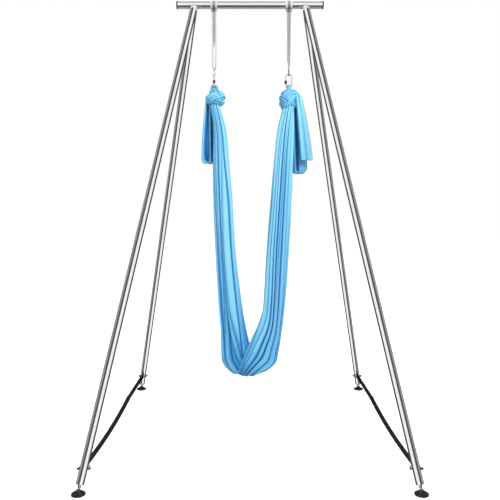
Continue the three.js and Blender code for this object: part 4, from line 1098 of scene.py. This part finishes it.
def make_hammock():
    halves = [half_loop(side) for side in (1, -1)]
    rings, painted_cloth_shades = (np.concatenate(parts, 1) for parts in zip(*halves))
    loop = cloth_piece("cloth_loop", rings, painted_cloth_shades, ["hammock_loop"])
    others = make_knot("left") + make_knot("right")
    for name, levels in TAILS.items():
        stands_for = [] if name == "right_back" else [f"hammock_tail_{name}"]
        others.append(cloth_piece(f"cloth_tail_{name}", *tail_rings(levels), stands_for))


# Studio

def staged(name, points, faces, material, only_reflected=False):
    """A piece of the studio, not of the rig. A card shows in reflections only."""
    mesh = bpy.data.meshes.new(name)
    mesh.from_pydata([tuple(p) for p in points], [], faces)
    mesh.materials.append(material)
    piece = add_object(name, mesh)
    if only_reflected:
        for ray in ("camera", "diffuse", "shadow", "transmission", "volume_scatter"):
            setattr(piece, f"visible_{ray}", False)


def rectangle(half_width, near, far, height):
    points = [(-half_width, near, height), (half_width, near, height), (half_width, far, height),
              (-half_width, far, height)]
    return points, [(0, 1, 2, 3)]


def empty_material(name):
    material = bpy.data.materials.new(name)
    material.use_nodes = True
    material.node_tree.nodes.clear()
    return material, material.node_tree


def seen_plainly(tree):
    """1 for camera, glossy and transmission rays, 0 for the rest."""
    path = tree.nodes.new("ShaderNodeLightPath")
    first = maths(tree, "MAXIMUM", path.outputs["Is Camera Ray"], path.outputs["Is Glossy Ray"])
    return maths(tree, "MAXIMUM", first, path.outputs["Is Transmission Ray"])


def make_world():
    """White to the eye and to reflections, greyer overhead, and light that grows with height for the rest."""
    world = scene.world or bpy.data.worlds.new("studio")
    scene.world = world
    world.use_nodes = True
    tree = world.node_tree
    background = tree.nodes["Background"]
    way = tree.nodes.new("ShaderNodeTexCoord").outputs["Generated"]
    height = add_node(tree, "ShaderNodeSeparateXYZ", {0: way}).outputs[2]
    plain = seen_plainly(tree)
    seen = maths(tree, "MULTIPLY", plain, ramp(tree, height, 1.0, 0.38, start=0.72, stop=0.97))
    rest = maths(tree, "MULTIPLY", maths(tree, "SUBTRACT", 1.0, plain), ramp(tree, height, 0.26, 0.85))
    background.inputs["Color"].default_value = (1, 1, 1, 1)
    tree.links.new(maths(tree, "ADD", seen, rest), background.inputs["Strength"])


def make_floor():
    material, tree = empty_material("pale_floor")
    diffuse = add_node(tree, "ShaderNodeBsdfDiffuse", {"Color": (0.62, 0.62, 0.62, 1)})
    strength = maths(tree, "MULTIPLY", seen_plainly(tree), 0.78)
    lift = add_node(tree, "ShaderNodeEmission", {"Color": (1, 1, 1, 1), "Strength": strength})
    both = add_node(tree, "ShaderNodeAddShader", {0: diffuse.outputs[0], 1: lift.outputs[0]})
    add_node(tree, "ShaderNodeOutputMaterial", {"Surface": both.outputs[0]})
    staged("floor", *rectangle(FLOOR_HALF, -FLOOR_HALF, FLOOR_HALF, 0), material)


def card_material(name, level):
    """A card that shows its front only."""
    material, tree = empty_material(name)
    glow = add_node(tree, "ShaderNodeEmission", {"Color": (level, level, level, 1), "Strength": 1.0})
    clear = tree.nodes.new("ShaderNodeBsdfTransparent")
    back = tree.nodes.new("ShaderNodeNewGeometry").outputs["Backfacing"]
    mix = add_node(tree, "ShaderNodeMixShader", {0: back, 1: glow.outputs[0], 2: clear.outputs[0]})
    add_node(tree, "ShaderNodeOutputMaterial", {"Surface": mix.outputs[0]})
    return material


def card_arc(name, at, length, start, stop, material, mirror):
    """A curved studio card beside a leg, mirrored between two shares of the tube's half width; it
    comes closer to the tube near the beam."""
    origin, x, y, z = at
    points = []
    heights = [-0.2, *(length - np.array([0.42, 0.34, 0.26, 0.18, 0.1, 0.03]))]
    shares = np.linspace(start, stop, 9)
    for height in heights:
        radius = min(CARD_R, CARD_LEAST_R + CARD_FLARE * (length - height))
        for share in shares:
            lean = math.asin(share)
            run = -LEG_R * math.cos(lean) + math.sqrt(radius ** 2 - (LEG_R * share) ** 2)
            side = LEG_R * share + run * math.sin(2 * lean)
            front = LEG_R * math.cos(lean) + run * math.cos(2 * lean)
            points.append(origin + z * height + x * side * mirror - y * front)
    faces = grid_faces(len(heights), len(shares), closed=False)
    staged(name, points, [f if mirror < 0 else f[::-1] for f in faces], material, only_reflected=True)


def make_cards():
    """Studio cards that the polished tubes mirror as lengthwise bands: white to the inside of the
    rig, dark and grey to its outside, dark at the back edges; and a dark and a grey card on the floor
    that the beam mirrors below its bright line."""
    levels = [("dark", 0.09), ("grey", 0.33), ("white", 1.0)]
    dark, grey, white = (card_material(f"card_{label}", level) for label, level in levels)
    spans = [("edge", -0.985, -0.93, dark), ("side", -0.93, -0.5, grey), ("flag", -0.5, -0.07, dark),
             ("face", -0.07, 0.58, white), ("inside", 0.58, 0.985, dark)]
    for end_name, end in ENDS:
        for side_name, side in SIDES:
            (origin, _, _, up), length = leg_frame(side, end)
            toward = CAMERA - (origin + up * length / 2)
            toward = unit(toward - up * toward.dot(up))
            at = (origin, np.cross(-toward, up), -toward, up)
            for label, start, stop, material in spans:
                card_arc(f"card_{label}_{end_name}_{side_name}", at, length, start, stop, material, -side)
    for name, near, far, level in [("low_card", -14.0, -0.4, 0.13), ("rear_card", -0.4, 9.0, 0.42)]:
        staged(name, *rectangle(3, near, far, 2 * mm), card_material(name, level), only_reflected=True)


def make_lights():
    for name, place, target_z, size, energy in [
        ("key", (2.2, -3.8, 4.8), 1.3, 1.6, 255), ("fill", (-3.4, -3.2, 2.6), 1.3, 2.2, 40),
        ("rear", (1.8, 4.4, 3.6), 1.5, 2.4, 120),
    ]:
        data = bpy.data.lights.new(name, "AREA")
        data.shape, data.size, data.energy = "SQUARE", size, energy
        lamp = add_object(name, data)
        lamp.location = place
        lamp.rotation_euler = (Vector((0, 0, target_z)) - Vector(place)).to_track_quat("-Z", "Y").to_euler()
        lamp.visible_glossy = False


def make_camera():
    data = bpy.data.cameras.new("camera")
    data.sensor_width, data.lens, data.clip_end = SENSOR, LENS, 200
    camera = add_object("camera", data)
    camera.location = CAMERA
    camera.rotation_euler = (math.pi / 2 - CAMERA_TILT, 0, 0)
    scene.camera = camera


make_camera()
make_world()
make_floor()
make_lights()
make_cards()
make_beam()
make_legs()
make_floor_straps()
for hang in ("left", "right"):
    make_sling(hang)
    make_carabiner(hang)
make_hammock()

scene.view_settings.view_transform = "Standard"
